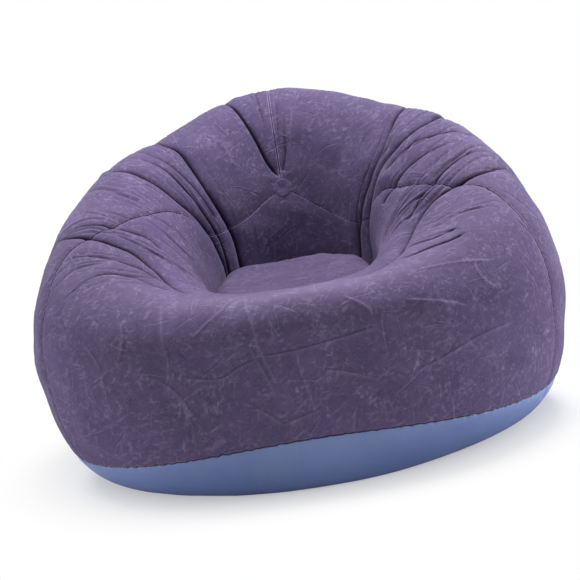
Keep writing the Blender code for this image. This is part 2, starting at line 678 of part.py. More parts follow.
def valve(frame, film_panel):
    """A two-stage valve: a wide neck welded under the film, a plug that pulls out to empty the chair, and in the
    plug a small port with a one-way flap below and a tethered cap above."""
    hole = turned("valve_hole_cutter", ((0, -4 * FILM), (NECK_OUTER + RUN_CLEAR, -4 * FILM),
                                        (NECK_OUTER + RUN_CLEAR, 4 * FILM), (0, 4 * FILM)))
    hole.matrix_world = frame
    cut(film_panel, hole)

    under = -FILM - WELD_GAP
    neck_inner = NECK_OUTER - NECK_WALL
    flange = turned("valve_flange", (
        (neck_inner, under - VALVE_FLANGE_THICK), (VALVE_FLANGE_RADIUS, under - VALVE_FLANGE_THICK),
        (VALVE_FLANGE_RADIUS, under), (NECK_OUTER, under), (NECK_OUTER, NECK_HEIGHT - NECK_WALL / 4),
        (NECK_OUTER - NECK_WALL / 4, NECK_HEIGHT), (neck_inner, NECK_HEIGHT)))
    flange.matrix_world = frame

    skirt = neck_inner - RUN_CLEAR
    rim_low = NECK_HEIGHT + RUN_CLEAR
    rim_top = rim_low + PLUG_RIM_THICK
    port = PORT_BORE + PORT_WALL
    web_low = rim_low - PLUG_RIM_THICK / 2
    port_end = rim_top - PORT_DROP
    body = turned("valve_plug", (
        (PORT_BORE, port_end), (port, port_end), (port, web_low), (skirt - PLUG_WALL, web_low),
        (skirt - PLUG_WALL, -PLUG_DROP), (skirt, -PLUG_DROP), (skirt, rim_low), (PLUG_RIM, rim_low),
        (PLUG_RIM, rim_top - PLUG_RIM_THICK / 3), (PLUG_RIM - PLUG_RIM_THICK / 3, rim_top), (PORT_BORE, rim_top)))
    body.matrix_world = frame
    pad_top = rim_top + RUN_CLEAR + CAP_STRAP_THICK
    pad = block("hinge_pad", (HINGE_REACH + RUN_CLEAR / 2, -CAP_STRAP / 2, rim_top - PLUG_RIM_THICK / 2),
                (PLUG_RIM - PLUG_RIM_THICK / 3, CAP_STRAP / 2, pad_top))
    pad.matrix_world = frame
    cut(body, pad, "UNION")

    axis_height = pad_top + HINGE_RISE
    hinge = frame @ Matrix.Translation((HINGE_REACH, 0, axis_height))
    cap_low = rim_top + RUN_CLEAR - axis_height
    cap = turned("valve_cap", (
        (0, cap_low - CAP_SPIGOT), (CAP_SPIGOT_TIP, cap_low - CAP_SPIGOT), (CAP_SPIGOT_TOP, cap_low),
        (CAP_RADIUS, cap_low), (CAP_RADIUS, cap_low + CAP_THICK * 0.7), (CAP_RADIUS * 0.9, cap_low + CAP_THICK),
        (0, cap_low + CAP_THICK)))
    cap.data.transform(Matrix.Translation((-HINGE_REACH, 0, 0)))
    cap.matrix_world = hinge
    strap = block("cap_strap", (-HINGE_REACH + CAP_RADIUS / 2, -CAP_STRAP / 2, cap_low),
                  (-RUN_CLEAR / 2, CAP_STRAP / 2, cap_low + CAP_STRAP_THICK))
    lip = block("cap_lip", (-HINGE_REACH - CAP_RADIUS - CAP_LIP, -CAP_STRAP / 2, cap_low + CAP_THICK * 0.2),
                (-HINGE_REACH - CAP_RADIUS / 2, CAP_STRAP / 2, cap_low + CAP_THICK * 0.8))
    for piece in (strap, lip):
        piece.matrix_world = hinge
        cut(cap, piece, "UNION")

    flap_top = port_end - RUN_CLEAR
    flap_axis = frame @ Matrix.Translation((FLAP_REACH, 0, flap_top - FLAP_THICK / 2))
    flap = turned("check_flap", ((0, -FLAP_THICK / 2), (FLAP_RADIUS, -FLAP_THICK / 2),
                                 (FLAP_RADIUS, FLAP_THICK / 2), (0, FLAP_THICK / 2)))
    flap.data.transform(Matrix.Translation((-FLAP_REACH, 0, 0)))
    flap.matrix_world = flap_axis
    tab = block("flap_tab", (-FLAP_REACH + FLAP_RADIUS / 2, -FLAP_TAB / 2, -FLAP_THICK / 2),
                (0, FLAP_TAB / 2, FLAP_THICK / 2))
    tab.matrix_world = flap_axis
    cut(flap, tab, "UNION")
    for label, matrix in (("valve axis", frame), ("cap hinge", hinge), ("flap hinge", flap_axis)):
        spot, out, across = matrix.translation, matrix.col[2].xyz, matrix.col[1].xyz
        print(label, "at", [round(v, 7) for v in spot], "out", [round(v, 7) for v in out],
              "across", [round(v, 7) for v in across], "up", [round(v, 7) for v in matrix.col[0].xyz])
    return flange, body, cap, flap


def main():
    for obj in list(bpy.data.objects):
        bpy.data.objects.remove(obj, do_unlink=True)
    flock, smooth_base, clear_vinyl = (0.139, 0.107, 0.190), (0.120, 0.168, 0.300), (0.55, 0.56, 0.60)
    front = finish(front_panel(), flock, 0.95)
    left, _ = back_panel("left_back_panel", LEFT)
    target, _ = skin(np.array([VALVE_DEGREES]), np.array([VALVE_LEVEL]))
    right, frame = back_panel("right_back_panel", RIGHT, target[0])
    finish(left, flock, 0.95)
    finish(right, flock, 0.95)
    finish(base_panel(), smooth_base, 0.45)
    finish(seat_panel(), flock, 0.95)
    finish(ring_wall(), smooth_base, 0.5)
    patch, backing = tuft((front, left, right))
    finish(patch, flock, 0.95)
    finish(backing, smooth_base, 0.5)
    for piece in valve(frame, right):
        finish(piece, clear_vinyl, 0.4)


main()
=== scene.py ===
# %% [markdown]
# # An inflatable lounge chair
# The real chair is one air chamber. Three gores of flocked vinyl and a smooth vinyl base are welded edge
# to edge, a round seat is welded into the middle, and all three gores are pinched together at one tuft in
# the backrest. Nothing in it is stiff, so its whole character is the skin: the long folds over the arms,
# the puckers at the welds, and the pale marks that packing leaves in the flock. This lesson builds that
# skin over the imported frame.

# %% Load the frame
import math

import bmesh
import bpy
import numpy as np
from mathutils import Matrix, Vector


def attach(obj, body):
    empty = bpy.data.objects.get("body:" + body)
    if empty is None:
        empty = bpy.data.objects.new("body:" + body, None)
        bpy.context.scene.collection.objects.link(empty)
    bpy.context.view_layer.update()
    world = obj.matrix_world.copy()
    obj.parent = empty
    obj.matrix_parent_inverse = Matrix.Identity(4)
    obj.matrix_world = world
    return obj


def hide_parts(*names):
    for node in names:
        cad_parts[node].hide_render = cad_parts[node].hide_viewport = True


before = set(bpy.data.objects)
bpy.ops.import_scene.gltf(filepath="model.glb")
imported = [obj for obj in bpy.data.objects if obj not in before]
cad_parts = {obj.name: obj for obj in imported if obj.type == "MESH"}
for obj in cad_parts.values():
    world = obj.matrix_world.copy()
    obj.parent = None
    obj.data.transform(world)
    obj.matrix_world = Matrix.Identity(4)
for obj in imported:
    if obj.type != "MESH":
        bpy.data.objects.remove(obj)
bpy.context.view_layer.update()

# %% [markdown]
# ## The smooth skin
# Before it folds, the blown-up skin is a soft ring with a rounded triangular plan. We write it as one
# function of a direction round the chair and a level up its cross-section, and every panel is laid on
# that one function. Two panels that share a weld then meet by themselves, which hand-placed meshes would
# not.

# %% Two shapes that come back everywhere
def ramp(value):
    """0 up to 0, 1 from 1 on, and straight between."""
    return np.clip(value, 0, 1)


def bell(away, width):
    """1 in the middle, and soon nothing past the width."""
    return np.exp(-(away / width) ** 2)


print("ramp and bell at 0.5:", ramp(0.5), round(float(bell(0.5, 1)), 3))

# %% Sizes and the cross-section
WIDTH, HEIGHT = 1.07, 0.706
HALF = WIDTH / 2
# The shares, heights and powers below aren't round, because another script fitted them by least squares,
# together with the camera, to the outline, the welds and the rim in the photograph.
# Outlines seen from above, as shares of half the width: the mean, then one, two and three waves round the
# chair.
EQUATOR = (0.9604, 0.0264, 0.0110, -0.1082)
CREST = (0.7174, 0.0542, 0.0164, -0.0260)
BELLY = (0.3867, 0.0073, 0.0611, -0.0024)
FLOOR = (0.7796, 0.0265, 0.0, 0.0133)
# Heights in the same way, as shares of the whole height.
CREST_HEIGHT = (0.7694, -0.2330, -0.0322, -0.0068, 0.0224)
EQUATOR_HEIGHT = (0.3763, 0.0521)
BASE_SEAM = (0.1239, 0.0, 0.0, 0.0191)
BELLY_HEIGHT, CREASE_HEIGHT = 0.4195, 0.371
# How full each quarter of the cross-section is: 2 is an ellipse, and more is squarer.
INNER_POWER, OUTER_POWER, LOWER_POWER = 2.0202, 1.9023, 2.2816
# The direction of the front base corners in degrees, and the level of the tuft in the back.
CORNER = 60.0
TUFT_LEVEL = 0.31


def series(shares, turn):
    """A rounded outline: a cosine series of the direction from the front."""
    return sum(share * np.cos(k * turn) for k, share in enumerate(shares))


def profile(turn, level):
    """Distance from the centre line, and height.

    Level -1 is the seat crease, 0 the belly of the well, 1 the rim, 2 the widest place and 3 the floor.
    """
    equator, crest, belly, floor = (HALF * series(s, turn) for s in (EQUATOR, CREST, BELLY, FLOOR))
    top, middle = HEIGHT * series(CREST_HEIGHT, turn), HEIGHT * series(EQUATOR_HEIGHT, turn)
    low = HEIGHT * BELLY_HEIGHT
    inner, outer, lower = (ramp(level - k) * np.pi / 2 for k in range(3))
    power = 2 / INNER_POWER
    r = crest - (crest - belly) * np.cos(inner).clip(0) ** power
    sunk = HEIGHT * (BELLY_HEIGHT - CREASE_HEIGHT) * ramp(-level)
    z = low + (top - low) * np.sin(inner).clip(0) ** power - sunk
    power = 2 / OUTER_POWER
    r = np.where(level > 1, crest + (equator - crest) * np.sin(outer).clip(0) ** power, r)
    z = np.where(level > 1, middle + (top - middle) * np.cos(outer).clip(0) ** power, z)
    power = 2 / LOWER_POWER
    r = np.where(level > 2, floor + (equator - floor) * np.cos(lower).clip(0) ** power, r)
    z = np.where(level > 2, middle * (1 - np.sin(lower).clip(0) ** power), z)
    return r, z


CENTRE_Y = (HALF * series(EQUATOR, 0.0) - HALF * series(EQUATOR, np.pi) + 0.005) / 2


def place(degrees, level):
    """Points of the smooth skin in a direction given in degrees: 0 is the front and positive is the right."""
    turn, level = np.broadcast_arrays(np.radians(degrees), np.asarray(level, float).clip(-1, 3))
    r, z = profile(turn, level)
    return np.stack([r * np.sin(turn), CENTRE_Y - r * np.cos(turn), z], -1)


def outward(degrees, level):
    """The way out of the air chamber at those points."""
    step = 2e-3
    level = np.clip(level, -1 + step, 3 - step)
    along = place(degrees, level + step) - place(degrees, level - step)
    across = place(degrees + step * 50, level) - place(degrees - step * 50, level)
    normal = np.cross(along, across)
    return normal / np.maximum(np.linalg.norm(normal, axis=-1, keepdims=True), 1e-12)


def base_level(degrees):
    """The level at which the gores meet the base, lowest at the three corners."""
    turn = np.radians(degrees)
    share = series(BASE_SEAM, turn) / series(EQUATOR_HEIGHT, turn)
    return 2 + np.arcsin((1 - share) ** (LOWER_POWER / 2)) * 2 / np.pi


print("rim at the front and back", [round(float(place(d, 1.0)[2]), 3) for d in (0.0, 180.0)])

# %% [markdown]
# ## Welds and folds as paths on the skin
# A weld or a fold is a path of (direction, level) points. They were picked by eye on the photograph, in
# pixels, and another script turned those into directions and levels with the fitted camera; some were then
# moved by hand. Left is negative. A smooth curve goes through each list, so a few points are enough, and
# the same path later presses the groove, bends the puckers and carries the thin dark line.

# %% Smooth paths, and the three welds between the gores
def through(points, each=12):
    """A smooth path through (direction, level) points."""
    p = np.array(points, float)
    p = np.vstack([2 * p[0] - p[1], p, 2 * p[-1] - p[-2]])
    t = np.linspace(0, 1, each, endpoint=False)[:, None]
    parts = []
    for a, b, c, d in zip(p, p[1:], p[2:], p[3:]):
        slope, bend = (c - a) * t, (2 * a - 5 * b + 4 * c - d) * t ** 2
        parts.append((2 * b + slope + bend + (3 * b - a - 3 * c + d) * t ** 3) / 2)
    return np.concatenate(parts + [p[-2:-1]])


CORNER_LEVEL = float(base_level(CORNER))
SEAM_LEFT = through([
    (60, CORNER_LEVEL), (60.2, 2.23), (59.8, 1.97), (61.2, 1.76), (63, 1.58), (65.4, 1.44), (67, 1.28),
    (67.6, 1.14), (69, 0.99), (71, 0.87), (75, 0.76), (82, 0.62), (97, 0.47), (113, 0.36),
    (127.5, 0.26), (144, 0.23), (159, 0.24), (170, 0.275), (180, TUFT_LEVEL)])
SEAM_RIGHT = through([
    (60, CORNER_LEVEL), (59.6, 2.2), (59, 2.0), (59.2, 1.78), (60.2, 1.58), (61.8, 1.4), (63.6, 1.2),
    (64.2, 1.04), (65.2, 0.91), (68, 0.79), (72, 0.67), (80, 0.53), (102, 0.36), (121, 0.23),
    (137, 0.19), (152, 0.205), (164, 0.24), (180, TUFT_LEVEL)])
SEAM_BACK = np.stack([np.full(120, 180.0), np.linspace(TUFT_LEVEL, float(base_level(180.0)), 120)], -1)
SEAMS_UP = {-1: SEAM_LEFT, 1: SEAM_RIGHT}


def spaced(path, count, sign=1.0):
    """(direction, level) points evenly spaced along a path, measured over the skin."""
    points = place(path[:, 0] * sign, path[:, 1])
    run = np.concatenate([[0], np.cumsum(np.linalg.norm(np.diff(points, axis=0), axis=1))])
    at = np.linspace(0, run[-1], count)
    return np.interp(at, run, path[:, 0]), np.interp(at, run, path[:, 1]), run[-1]


for label, sign in (("left", -1), ("right", 1)):
    print(label, "weld is", round(spaced(SEAMS_UP[sign], 2, sign)[2], 3), "m long")

# %% [markdown]
# ## The long folds
# Blown up, the flat gores have too much cloth on the inside of every bend, so the skin buckles into a few
# deep folds that run from the rim down into the well. A fold is a narrow cleft between two full lobes.
# Pressing the skin straight in gives an even ditch, but a real lobe leans over its cleft, so each fold is
# also pressed sideways, under the lobe that hides it.

# %% The long folds
# Each fold: its path, how deep it is, how wide its hiding lobe and its open side curve into it, in
# metres, and which side the lobe that hides it is on, looking along the path: 1 for the right and -1 for
# the left.
FOLDS = {
    "left_front": ([
        (-78.5, 1.55), (-76, 1.36), (-72, 1.23), (-69, 1.12), (-66, 1.01), (-62.5, 0.92),
        (-58.5, 0.83), (-54, 0.78), (-48.5, 0.75), (-40, 0.78), (-31, 0.86)], 0.018, 0.005, 0.010, 1),
    "left_arm": ([
        (-98, 1.55), (-99, 1.25), (-100.8, 1.02), (-102.3, 0.86), (-103, 0.74), (-105, 0.62),
        (-109, 0.49), (-118, 0.37), (-127, 0.25), (-132.5, 0.14), (-135, 0.02),
        (-136, -0.4)], 0.026, 0.007, 0.010, 1),
    "left_shoulder": ([
        (-128, 1.45), (-129.5, 1.17), (-131.5, 0.95), (-134.5, 0.76), (-135.5, 0.60), (-138, 0.44),
        (-142.5, 0.31), (-147, 0.20), (-148.5, 0.08), (-149, -0.4)], 0.026, 0.006, 0.010, 1),
    "left_inner": ([
        (-113, 0.95), (-116, 0.76), (-120, 0.58), (-124, 0.46), (-128, 0.36), (-132.5, 0.27),
        (-137.5, 0.15), (-140, -0.2)], 0.013, 0.004, 0.009, 1),
    "left_slip": ([
        (-119, 1.05), (-122, 0.80), (-126, 0.60), (-132, 0.42), (-138, 0.28)], 0.008, 0.004, 0.008, 1),
    "left_tuft": ([
        (-162.5, 1.20), (-164, 0.98), (-166, 0.82), (-168.5, 0.67), (-172, 0.52), (-174.5, 0.43),
        (-178.5, 0.35)], 0.012, 0.004, 0.010, 1),
    "left_pinch": ([
        (-169.5, 0.62), (-172.3, 0.51), (-174.4, 0.43), (-177.5, 0.37)], 0.009, 0.003, 0.006, 1),
    "right_pinch": ([
        (174.5, 0.53), (176.3, 0.44), (178.5, 0.37)], 0.006, 0.003, 0.006, -1),
    "right_front": ([
        (80, 1.55), (76, 1.37), (71, 1.23), (67, 1.09), (65, 0.99), (63, 0.91), (60.5, 0.82),
        (57, 0.75), (52.5, 0.715), (46.5, 0.74), (40, 0.795)], 0.024, 0.006, 0.010, -1),
    "right_corner": ([
        (14, 0.945), (20, 0.935), (26, 0.92), (31, 0.895), (36, 0.85), (40, 0.795), (46.5, 0.74),
        (52.5, 0.715), (57, 0.75)], 0.022, 0.006, 0.013, 1),
    "right_arm": ([
        (102, 1.50), (101, 1.22), (100.3, 0.98), (100.2, 0.82), (101, 0.68), (104, 0.56),
        (108, 0.44), (114.5, 0.32), (119, 0.19), (119.5, 0.05), (115, -0.4)], 0.024, 0.007, 0.010, -1),
    "right_shoulder": ([
        (121.5, 1.45), (121, 1.15), (121, 0.97), (119.7, 0.84), (116, 0.70), (115, 0.56),
        (118.5, 0.43), (124.5, 0.32), (131, 0.20), (136, 0.06), (138, -0.4)], 0.026, 0.005, 0.010, -1),
    "right_slip": ([
        (125, 0.98), (123, 0.80), (120.5, 0.64), (122.5, 0.48), (128, 0.37), (134.5, 0.24),
        (139, 0.1)], 0.006, 0.003, 0.008, -1),
    "right_brow": ([
        (76.5, 1.06), (73, 0.94), (70.5, 0.87), (67, 0.79), (64.5, 0.715), (61.5, 0.67),
        (57, 0.62)], 0.014, 0.004, 0.008, -1),
    "right_cheek": ([
        (81.5, 1.0), (82, 0.82), (82.2, 0.71), (82.8, 0.55), (84.5, 0.44),
        (87.5, 0.36)], 0.012, 0.004, 0.009, -1),
    "right_temple": ([
        (86, 1.20), (88.5, 1.02), (90.5, 0.84), (93.5, 0.66), (97, 0.50)], 0.009, 0.004, 0.008, -1),
    "left_palm": ([
        (-77, 1.36), (-74.8, 1.22), (-73.2, 1.1), (-71.7, 0.97), (-69.7, 0.87), (-67.8, 0.77),
        (-66.5, 0.67), (-62, 0.6)], 0.009, 0.003, 0.008, 1),
    "left_thumb": ([
        (-55, 1.38), (-54, 1.22), (-52, 1.07), (-48.5, 0.96), (-44.5, 0.91),
        (-37, 0.87)], 0.007, 0.003, 0.008, 1),
    "left_knuckle": ([
        (-64, 1.22), (-60, 1.09), (-57, 0.98), (-54, 0.91), (-50.5, 0.84),
        (-44, 0.79)], 0.007, 0.003, 0.007, 1),
    "right_thumb": ([
        (30, 0.95), (33.5, 1.0), (36.5, 1.04), (39.5, 1.10), (43, 1.18),
        (47, 1.24)], 0.006, 0.003, 0.008, -1),
    "right_palm": ([
        (37, 0.83), (40.5, 0.91), (43.5, 1.02), (48, 1.15)], 0.005, 0.003, 0.008, -1),
}
print(len(FOLDS), "long folds, the deepest", max(fold[1] for fold in FOLDS.values()), "m")

# %% [markdown]
# ## The section of a fold
# Across its path a fold is three shapes in one: a tight crease, a soft valley, and a wide shallow hollow.
# Where two folds meet, their depths are joined as cubes, so that the deeper one wins smoothly in place of
# both adding up. The bottom of a real fold sees no light, and a finish can't know that, so a painted shade
# near the crease is kept as well.

# %% How a fold presses the skin
# How far a fold leans, as a share of its depth, and how far past the edge of the hiding lobe its crease
# lies.
UNDERCUT, CREASE_BEYOND = 0.42, 0.28
# Widths in metres and shares of the depth: the tight crease, with the radius of its bottom, and the wide
# hollow.
CREASE_WIDTH, CREASE_ROUND, CREASE_SHARE = 0.0030, 0.0005, 0.45
HOLLOW_WIDTH, HOLLOW_SHARE = 0.024, 0.20
# The painted shade at the bottom of a fold: its width under the lobe, its width on the open side, how that
# grows with depth, and the depth from which it's fully dark. Beyond it lies a softer painted shadow, as wide
# as a share of the depth.
DARK_UNDER, DARK_OPEN, DARK_GROWTH, DARK_DEPTH = 0.0022, 0.0024, 0.11, 0.013
SHADOW_REACH, SHADOW_SHARE = 0.65, 0.30
AT_ONCE = 4000


def nearest_on(path, points, reach):
    """For the points within reach of a path: which they are, the place on it, and the offset from it."""
    close = np.all((points > path.min(0) - reach) & (points < path.max(0) + reach), axis=-1)
    picked = np.flatnonzero(close)
    if not len(picked):
        return picked, picked, points[picked]
    parts = np.array_split(points[picked], len(picked) // AT_ONCE + 1)
    best = np.concatenate([((part[:, None] - path) ** 2).sum(-1).argmin(1) for part in parts])
    offset = points[picked] - path[best]
    keep = (offset ** 2).sum(-1) < reach ** 2
    return picked[keep], best[keep], offset[keep]


def ways_along(path):
    """The direction of a path at each of its points."""
    way = np.gradient(path, axis=0)
    return way / np.maximum(np.linalg.norm(way, axis=1, keepdims=True), 1e-12)


def cleft(distance, width):
    """Share of a fold's depth at a distance from its line: a tight crease at the bottom of a soft valley."""
    tight = np.exp((CREASE_ROUND - np.sqrt(distance ** 2 + CREASE_ROUND ** 2)) / CREASE_WIDTH)
    soft = np.exp(-1.6 * np.sqrt((distance / width) ** 2 + 0.012) + 0.175)
    hollow = bell(distance, HOLLOW_WIDTH)
    return CREASE_SHARE * tight + HOLLOW_SHARE * hollow + (1 - CREASE_SHARE - HOLLOW_SHARE) * soft


def fold_fade(count, start=0.35, end=0.07):
    """A fold dies away at both ends."""
    share = np.linspace(0, 1, count)
    return ramp(share / start) ** 0.8 * ramp((1 - share) / end) ** 0.8


def press_folds(points, normals):
    """How far the folds move each point of the smooth skin, and the painted shade of a fold's bottom and its
    shadow.
    """
    weight, lean, dark = np.zeros(len(points)), np.zeros_like(points), np.zeros(len(points))
    for path, (_, depth, steep, gentle, hiding) in zip(FOLD_LINES, FOLDS.values()):
        i, at, offset = nearest_on(path, points, 2 * HOLLOW_WIDTH)
        ways = ways_along(path)[at]
        aside = np.cross(ways, normals[i])
        distance = (offset * aside).sum(-1)
        hides = distance * hiding > 0
        fade = fold_fade(len(path))[at]
        cube = (depth * fade * cleft(distance, np.where(hides, steep, gentle))) ** 3
        weight[i] += cube
        lean[i] += (cube * hiding * UNDERCUT)[:, None] * aside
        shade = bell(distance, np.where(hides, DARK_UNDER, DARK_OPEN + DARK_GROWTH * depth))
        shade += np.where(hides, 0, SHADOW_SHARE) * bell(distance, SHADOW_REACH * depth)
        shade *= fade * min(1, depth / DARK_DEPTH)
        dark[i] = np.maximum(dark[i], shade)
    return np.cbrt(weight)[:, None] * (lean / np.maximum(weight, 1e-15)[:, None] - normals), dark


def fold_line(points, depth, hiding):
    """The crease: the photograph shows the hiding lobe's edge, and the crease lies a little beyond it."""
    turn, level = through(points, 22).T
    line = place(turn, level)
    return line - hiding * CREASE_BEYOND * depth * np.cross(ways_along(line), outward(turn, level))


FOLD_LINES = [fold_line(points, depth, hiding) for points, depth, _, _, hiding in FOLDS.values()]
print("the folds are pressed along", sum(len(line) for line in FOLD_LINES), "points")

# %% [markdown]
# ## Wrinkles that follow the folds
# Between two long folds the skin is gathered into many short wrinkles, and they all bend the way their
# neighbours do. So a wrinkle is laid on a guide that is mixed from the folds on either side of it. Its
# section is a small valley with a raised lip on each side, because cloth that is pushed together goes up
# as well as down.

# %% Guides and gathers
# The direction of each guide at these levels.
LEVELS = (-0.4, 0.1, 0.25, 0.4, 0.6, 0.8, 1.0, 1.3, 1.7, 2.4)
GUIDES = {
    "front_left": (-20, -22, -24, -26, -30, -36, -42, -48, -50, -50),
    "left_front": (-40, -42, -44, -48, -54, -59, -65.5, -73, -78, -80),
    "left_arm": (-136, -134, -126, -115, -107, -105, -105.5, -103.5, -101, -100),
    "left_shoulder": (-148, -147, -145, -140.5, -135, -134.5, -133.5, -132, -131, -130),
    "left_tuft": (-172, -174, -176, -175, -170.5, -167, -165, -163, -162, -161),
    "back_left": (-180,) * 10,
    "back_right": (180,) * 10,
    "right_tuft": (172, 174, 177, 176, 172, 169, 167, 165, 164, 163),
    "right_shoulder": (138, 134, 128, 120.5, 114, 115, 117.5, 119.5, 121, 121),
    "right_arm": (113, 117, 118, 112, 105, 103, 105.5, 107, 108, 109),
    "right_front": (38, 40, 42, 46, 52, 58, 64.5, 73, 79, 81),
    "front_right": (20, 22, 24, 26, 30, 36, 42, 48, 50, 50),
}
# Pairs of guides, how many wrinkles lie between them, the levels that they keep to, how many levels long
# each is, and how deep, in metres.
GATHERS = (
    ("front_left", "left_front", 18, (0.55, 1.75), (0.25, 0.6), (0.0006, 0.0017)),
    ("left_front", "left_arm", 44, (0.25, 1.75), (0.25, 0.8), (0.0007, 0.0024)),
    ("left_arm", "left_shoulder", 24, (0.1, 1.8), (0.2, 0.7), (0.0007, 0.0023)),
    ("left_shoulder", "left_tuft", 18, (0.0, 1.7), (0.2, 0.6), (0.0004, 0.0011)),
    ("left_tuft", "back_left", 9, (0.35, 1.6), (0.25, 0.6), (0.0006, 0.0018)),
    ("back_right", "right_tuft", 9, (0.35, 1.6), (0.25, 0.6), (0.0006, 0.0018)),
    ("right_tuft", "right_shoulder", 22, (0.0, 1.7), (0.2, 0.6), (0.0004, 0.0012)),
    ("right_shoulder", "right_arm", 22, (0.1, 1.8), (0.2, 0.7), (0.0009, 0.0026)),
    ("right_arm", "right_front", 52, (0.25, 1.75), (0.25, 0.8), (0.0008, 0.0027)),
    ("right_front", "front_right", 16, (0.55, 1.75), (0.25, 0.6), (0.0006, 0.0016)),
)
print(sum(row[2] for row in GATHERS), "wrinkles between", len(GUIDES), "guides")


# %% Short wrinkles
def wrinkle_paths():
    """Every short wrinkle: its path, its depth and half its width."""
    rng = np.random.default_rng(11)
    made = []
    for first, second, count, (low, high), (short, long), (shallow, deep) in GATHERS:
        for _ in range(count):
            length = rng.uniform(short, long)
            start = rng.uniform(low, max(low, high - length))
            level = np.linspace(start, start + length, 26)
            share = rng.uniform(0.06, 0.94) + 0.05 * np.sin(level * rng.uniform(2, 6) + rng.uniform(0, 6))
            beside = ((first, 1 - share), (second, share))
            turn = sum(np.interp(level, LEVELS, GUIDES[guide]) * part for guide, part in beside)
            made.append((place(turn, level), rng.uniform(shallow, deep), rng.uniform(0.0028, 0.0062)))
    return made


WRINKLES = wrinkle_paths()


def press_wrinkles(points):
    """How high the wrinkles raise each point, below zero in a valley."""
    height = np.zeros(len(points))
    for path, depth, width in WRINKLES:
        i, at, offset = nearest_on(path, points, 3.2 * width)
        ways = ways_along(path)[at]
        offset -= ways * (offset * ways).sum(-1)[:, None]
        share = (offset ** 2).sum(-1) / width ** 2
        height[i] -= depth * fold_fade(len(path), 0.35, 0.35)[at] * (1 - 1.3 * share) * np.exp(-share)
    return height


print("the deepest wrinkle is", round(max(depth for _, depth, _ in WRINKLES) * 1000, 1), "mm deep")

# %% [markdown]
# ## Soft dents and the creases of packing
# A blown-up film is never quite even, so it gets low, soft waves. The chair also came folded flat in a
# box, which leaves two kinds of crease in the flock: a crumple of faint short lines all over, and a few
# sharp long ones, most of them on the front. A random field is enough for the first kind. The long ones
# are paths, because they're what the eye finds again.

# %% Soft dents and packing creases
def waves(points, length, count, seed):
    """A soft random field: plane waves of about one length in random directions, about -1 to 1."""
    rng = np.random.default_rng(seed)
    way = rng.normal(size=(count, 3))
    way *= (2 * np.pi / (length * rng.uniform(0.7, 1.4, count)) / np.linalg.norm(way, axis=1))[:, None]
    phase = rng.uniform(0, 2 * np.pi, count)
    return sum(np.sin(points @ w + p) for w, p in zip(way, phase)) * np.sqrt(1.4 / count)


def crumple(points, length, seed):
    """Thin raised lines where a random field crosses zero, broken into short pieces."""
    field, gate = waves(points, length, 9, seed), waves(points, length * 1.6, 7, seed + 1)
    return bell(field, 0.16) * ramp(gate * 1.6 - 0.25)


# Sharp creases left where the film lay folded in its box, as paths.
PACKED = (
    [(-25.5, 2.07), (-18, 2.10), (-13, 2.07), (-8.5, 2.05)],
    [(-8.5, 2.05), (0, 2.045), (9, 2.03), (18, 2.01)],
    [(-10, 2.01), (-9, 2.06), (-7.5, 2.13), (-6.3, 2.20)], [(-8.5, 2.0), (-7.2, 2.07), (-5.6, 2.16)],
    [(-0.5, 2.03), (0, 2.11), (1, 2.22), (2, 2.33)],
    [(-31.5, 1.22), (-28.5, 1.6), (-27, 1.99), (-27.5, 2.08)],
    [(-22, 1.78), (-19.5, 1.59), (-16.5, 1.36), (-15, 1.0)],
    [(-11.5, 1.06), (-9.5, 1.58), (-8.5, 1.91), (-8.4, 2.05)], [(-11.5, 2.23), (-8.5, 2.28), (-6, 2.33)],
    [(-6, 2.33), (-2, 2.31), (2.5, 2.29)], [(4.5, 2.13), (9.5, 2.15), (16.5, 2.2)],
    [(-29.5, 2.07), (-26.5, 2.13), (-24, 2.25)], [(-5, 1.70), (-4.8, 1.9), (-5, 2.02)],
    [(22, 2.2), (29, 2.16), (38, 2.1), (46, 2.08)], [(24, 1.72), (31, 1.86), (36, 2.0)],
    [(42, 1.5), (41, 1.7), (43, 1.9)], [(12, 1.45), (16, 1.7), (17, 1.9)],
    [(30, 1.35), (38, 1.45), (46, 1.62)], [(-46, 1.75), (-42, 1.95), (-41, 2.2)],
    [(-38, 1.5), (-36, 1.8), (-38, 2.1)], [(-172, 0.12), (-168, 0.02), (-163, -0.1)],
    [(157.5, 0.74), (159.5, 0.67), (162, 0.6), (164.5, 0.54)],
    [(170.5, 0.72), (171.5, 0.59), (173, 0.49), (174.5, 0.42)],
    [(-150, 0.75), (-156, 0.6), (-160, 0.42)], [(92, 1.75), (98, 1.9), (101, 2.1)],
    [(-120, 1.7), (-128, 1.9), (-133, 2.1)], [(150, 1.6), (146, 1.85), (148, 2.1)],
)
PACKED_LINES = [place(*through(spots, 12).T) for spots in PACKED]
PACKED_HEIGHT, PACKED_WIDTH = 0.0014, 0.0034


def press_packed(points, normals):
    """The step at each packing crease: the film stands up on one side of it and lies lower on the other,
    where painted shade falls.
    """
    height, worn, low = np.zeros(len(points)), np.zeros(len(points)), np.zeros(len(points))
    for path in PACKED_LINES:
        i, at, offset = nearest_on(path, points, 3 * PACKED_WIDTH)
        share = (offset * np.cross(ways_along(path)[at], normals[i])).sum(-1) / PACKED_WIDTH
        fade = fold_fade(len(path), 0.15, 0.15)[at]
        height[i] += PACKED_HEIGHT * fade * (1 + 1.6 * share) * np.exp(-share ** 2)
        worn[i] = np.maximum(worn[i], fade * np.exp(-(share - 0.3) ** 2 / 0.16))
        # Painted shade on the lower side of the step.
        low[i] = np.maximum(low[i], fade * np.exp(-(share + 0.45) ** 2 / 0.20))
    return height, worn, low


print(len(PACKED), "sharp packing creases")

# %% [markdown]
# ## The welds
# A high-frequency weld joins two films face to face, and air then pushes both away from it, so every seam
# lies in a small valley with a thin dark line at the bottom. The film also puckers there, because a weld
# doesn't stretch.

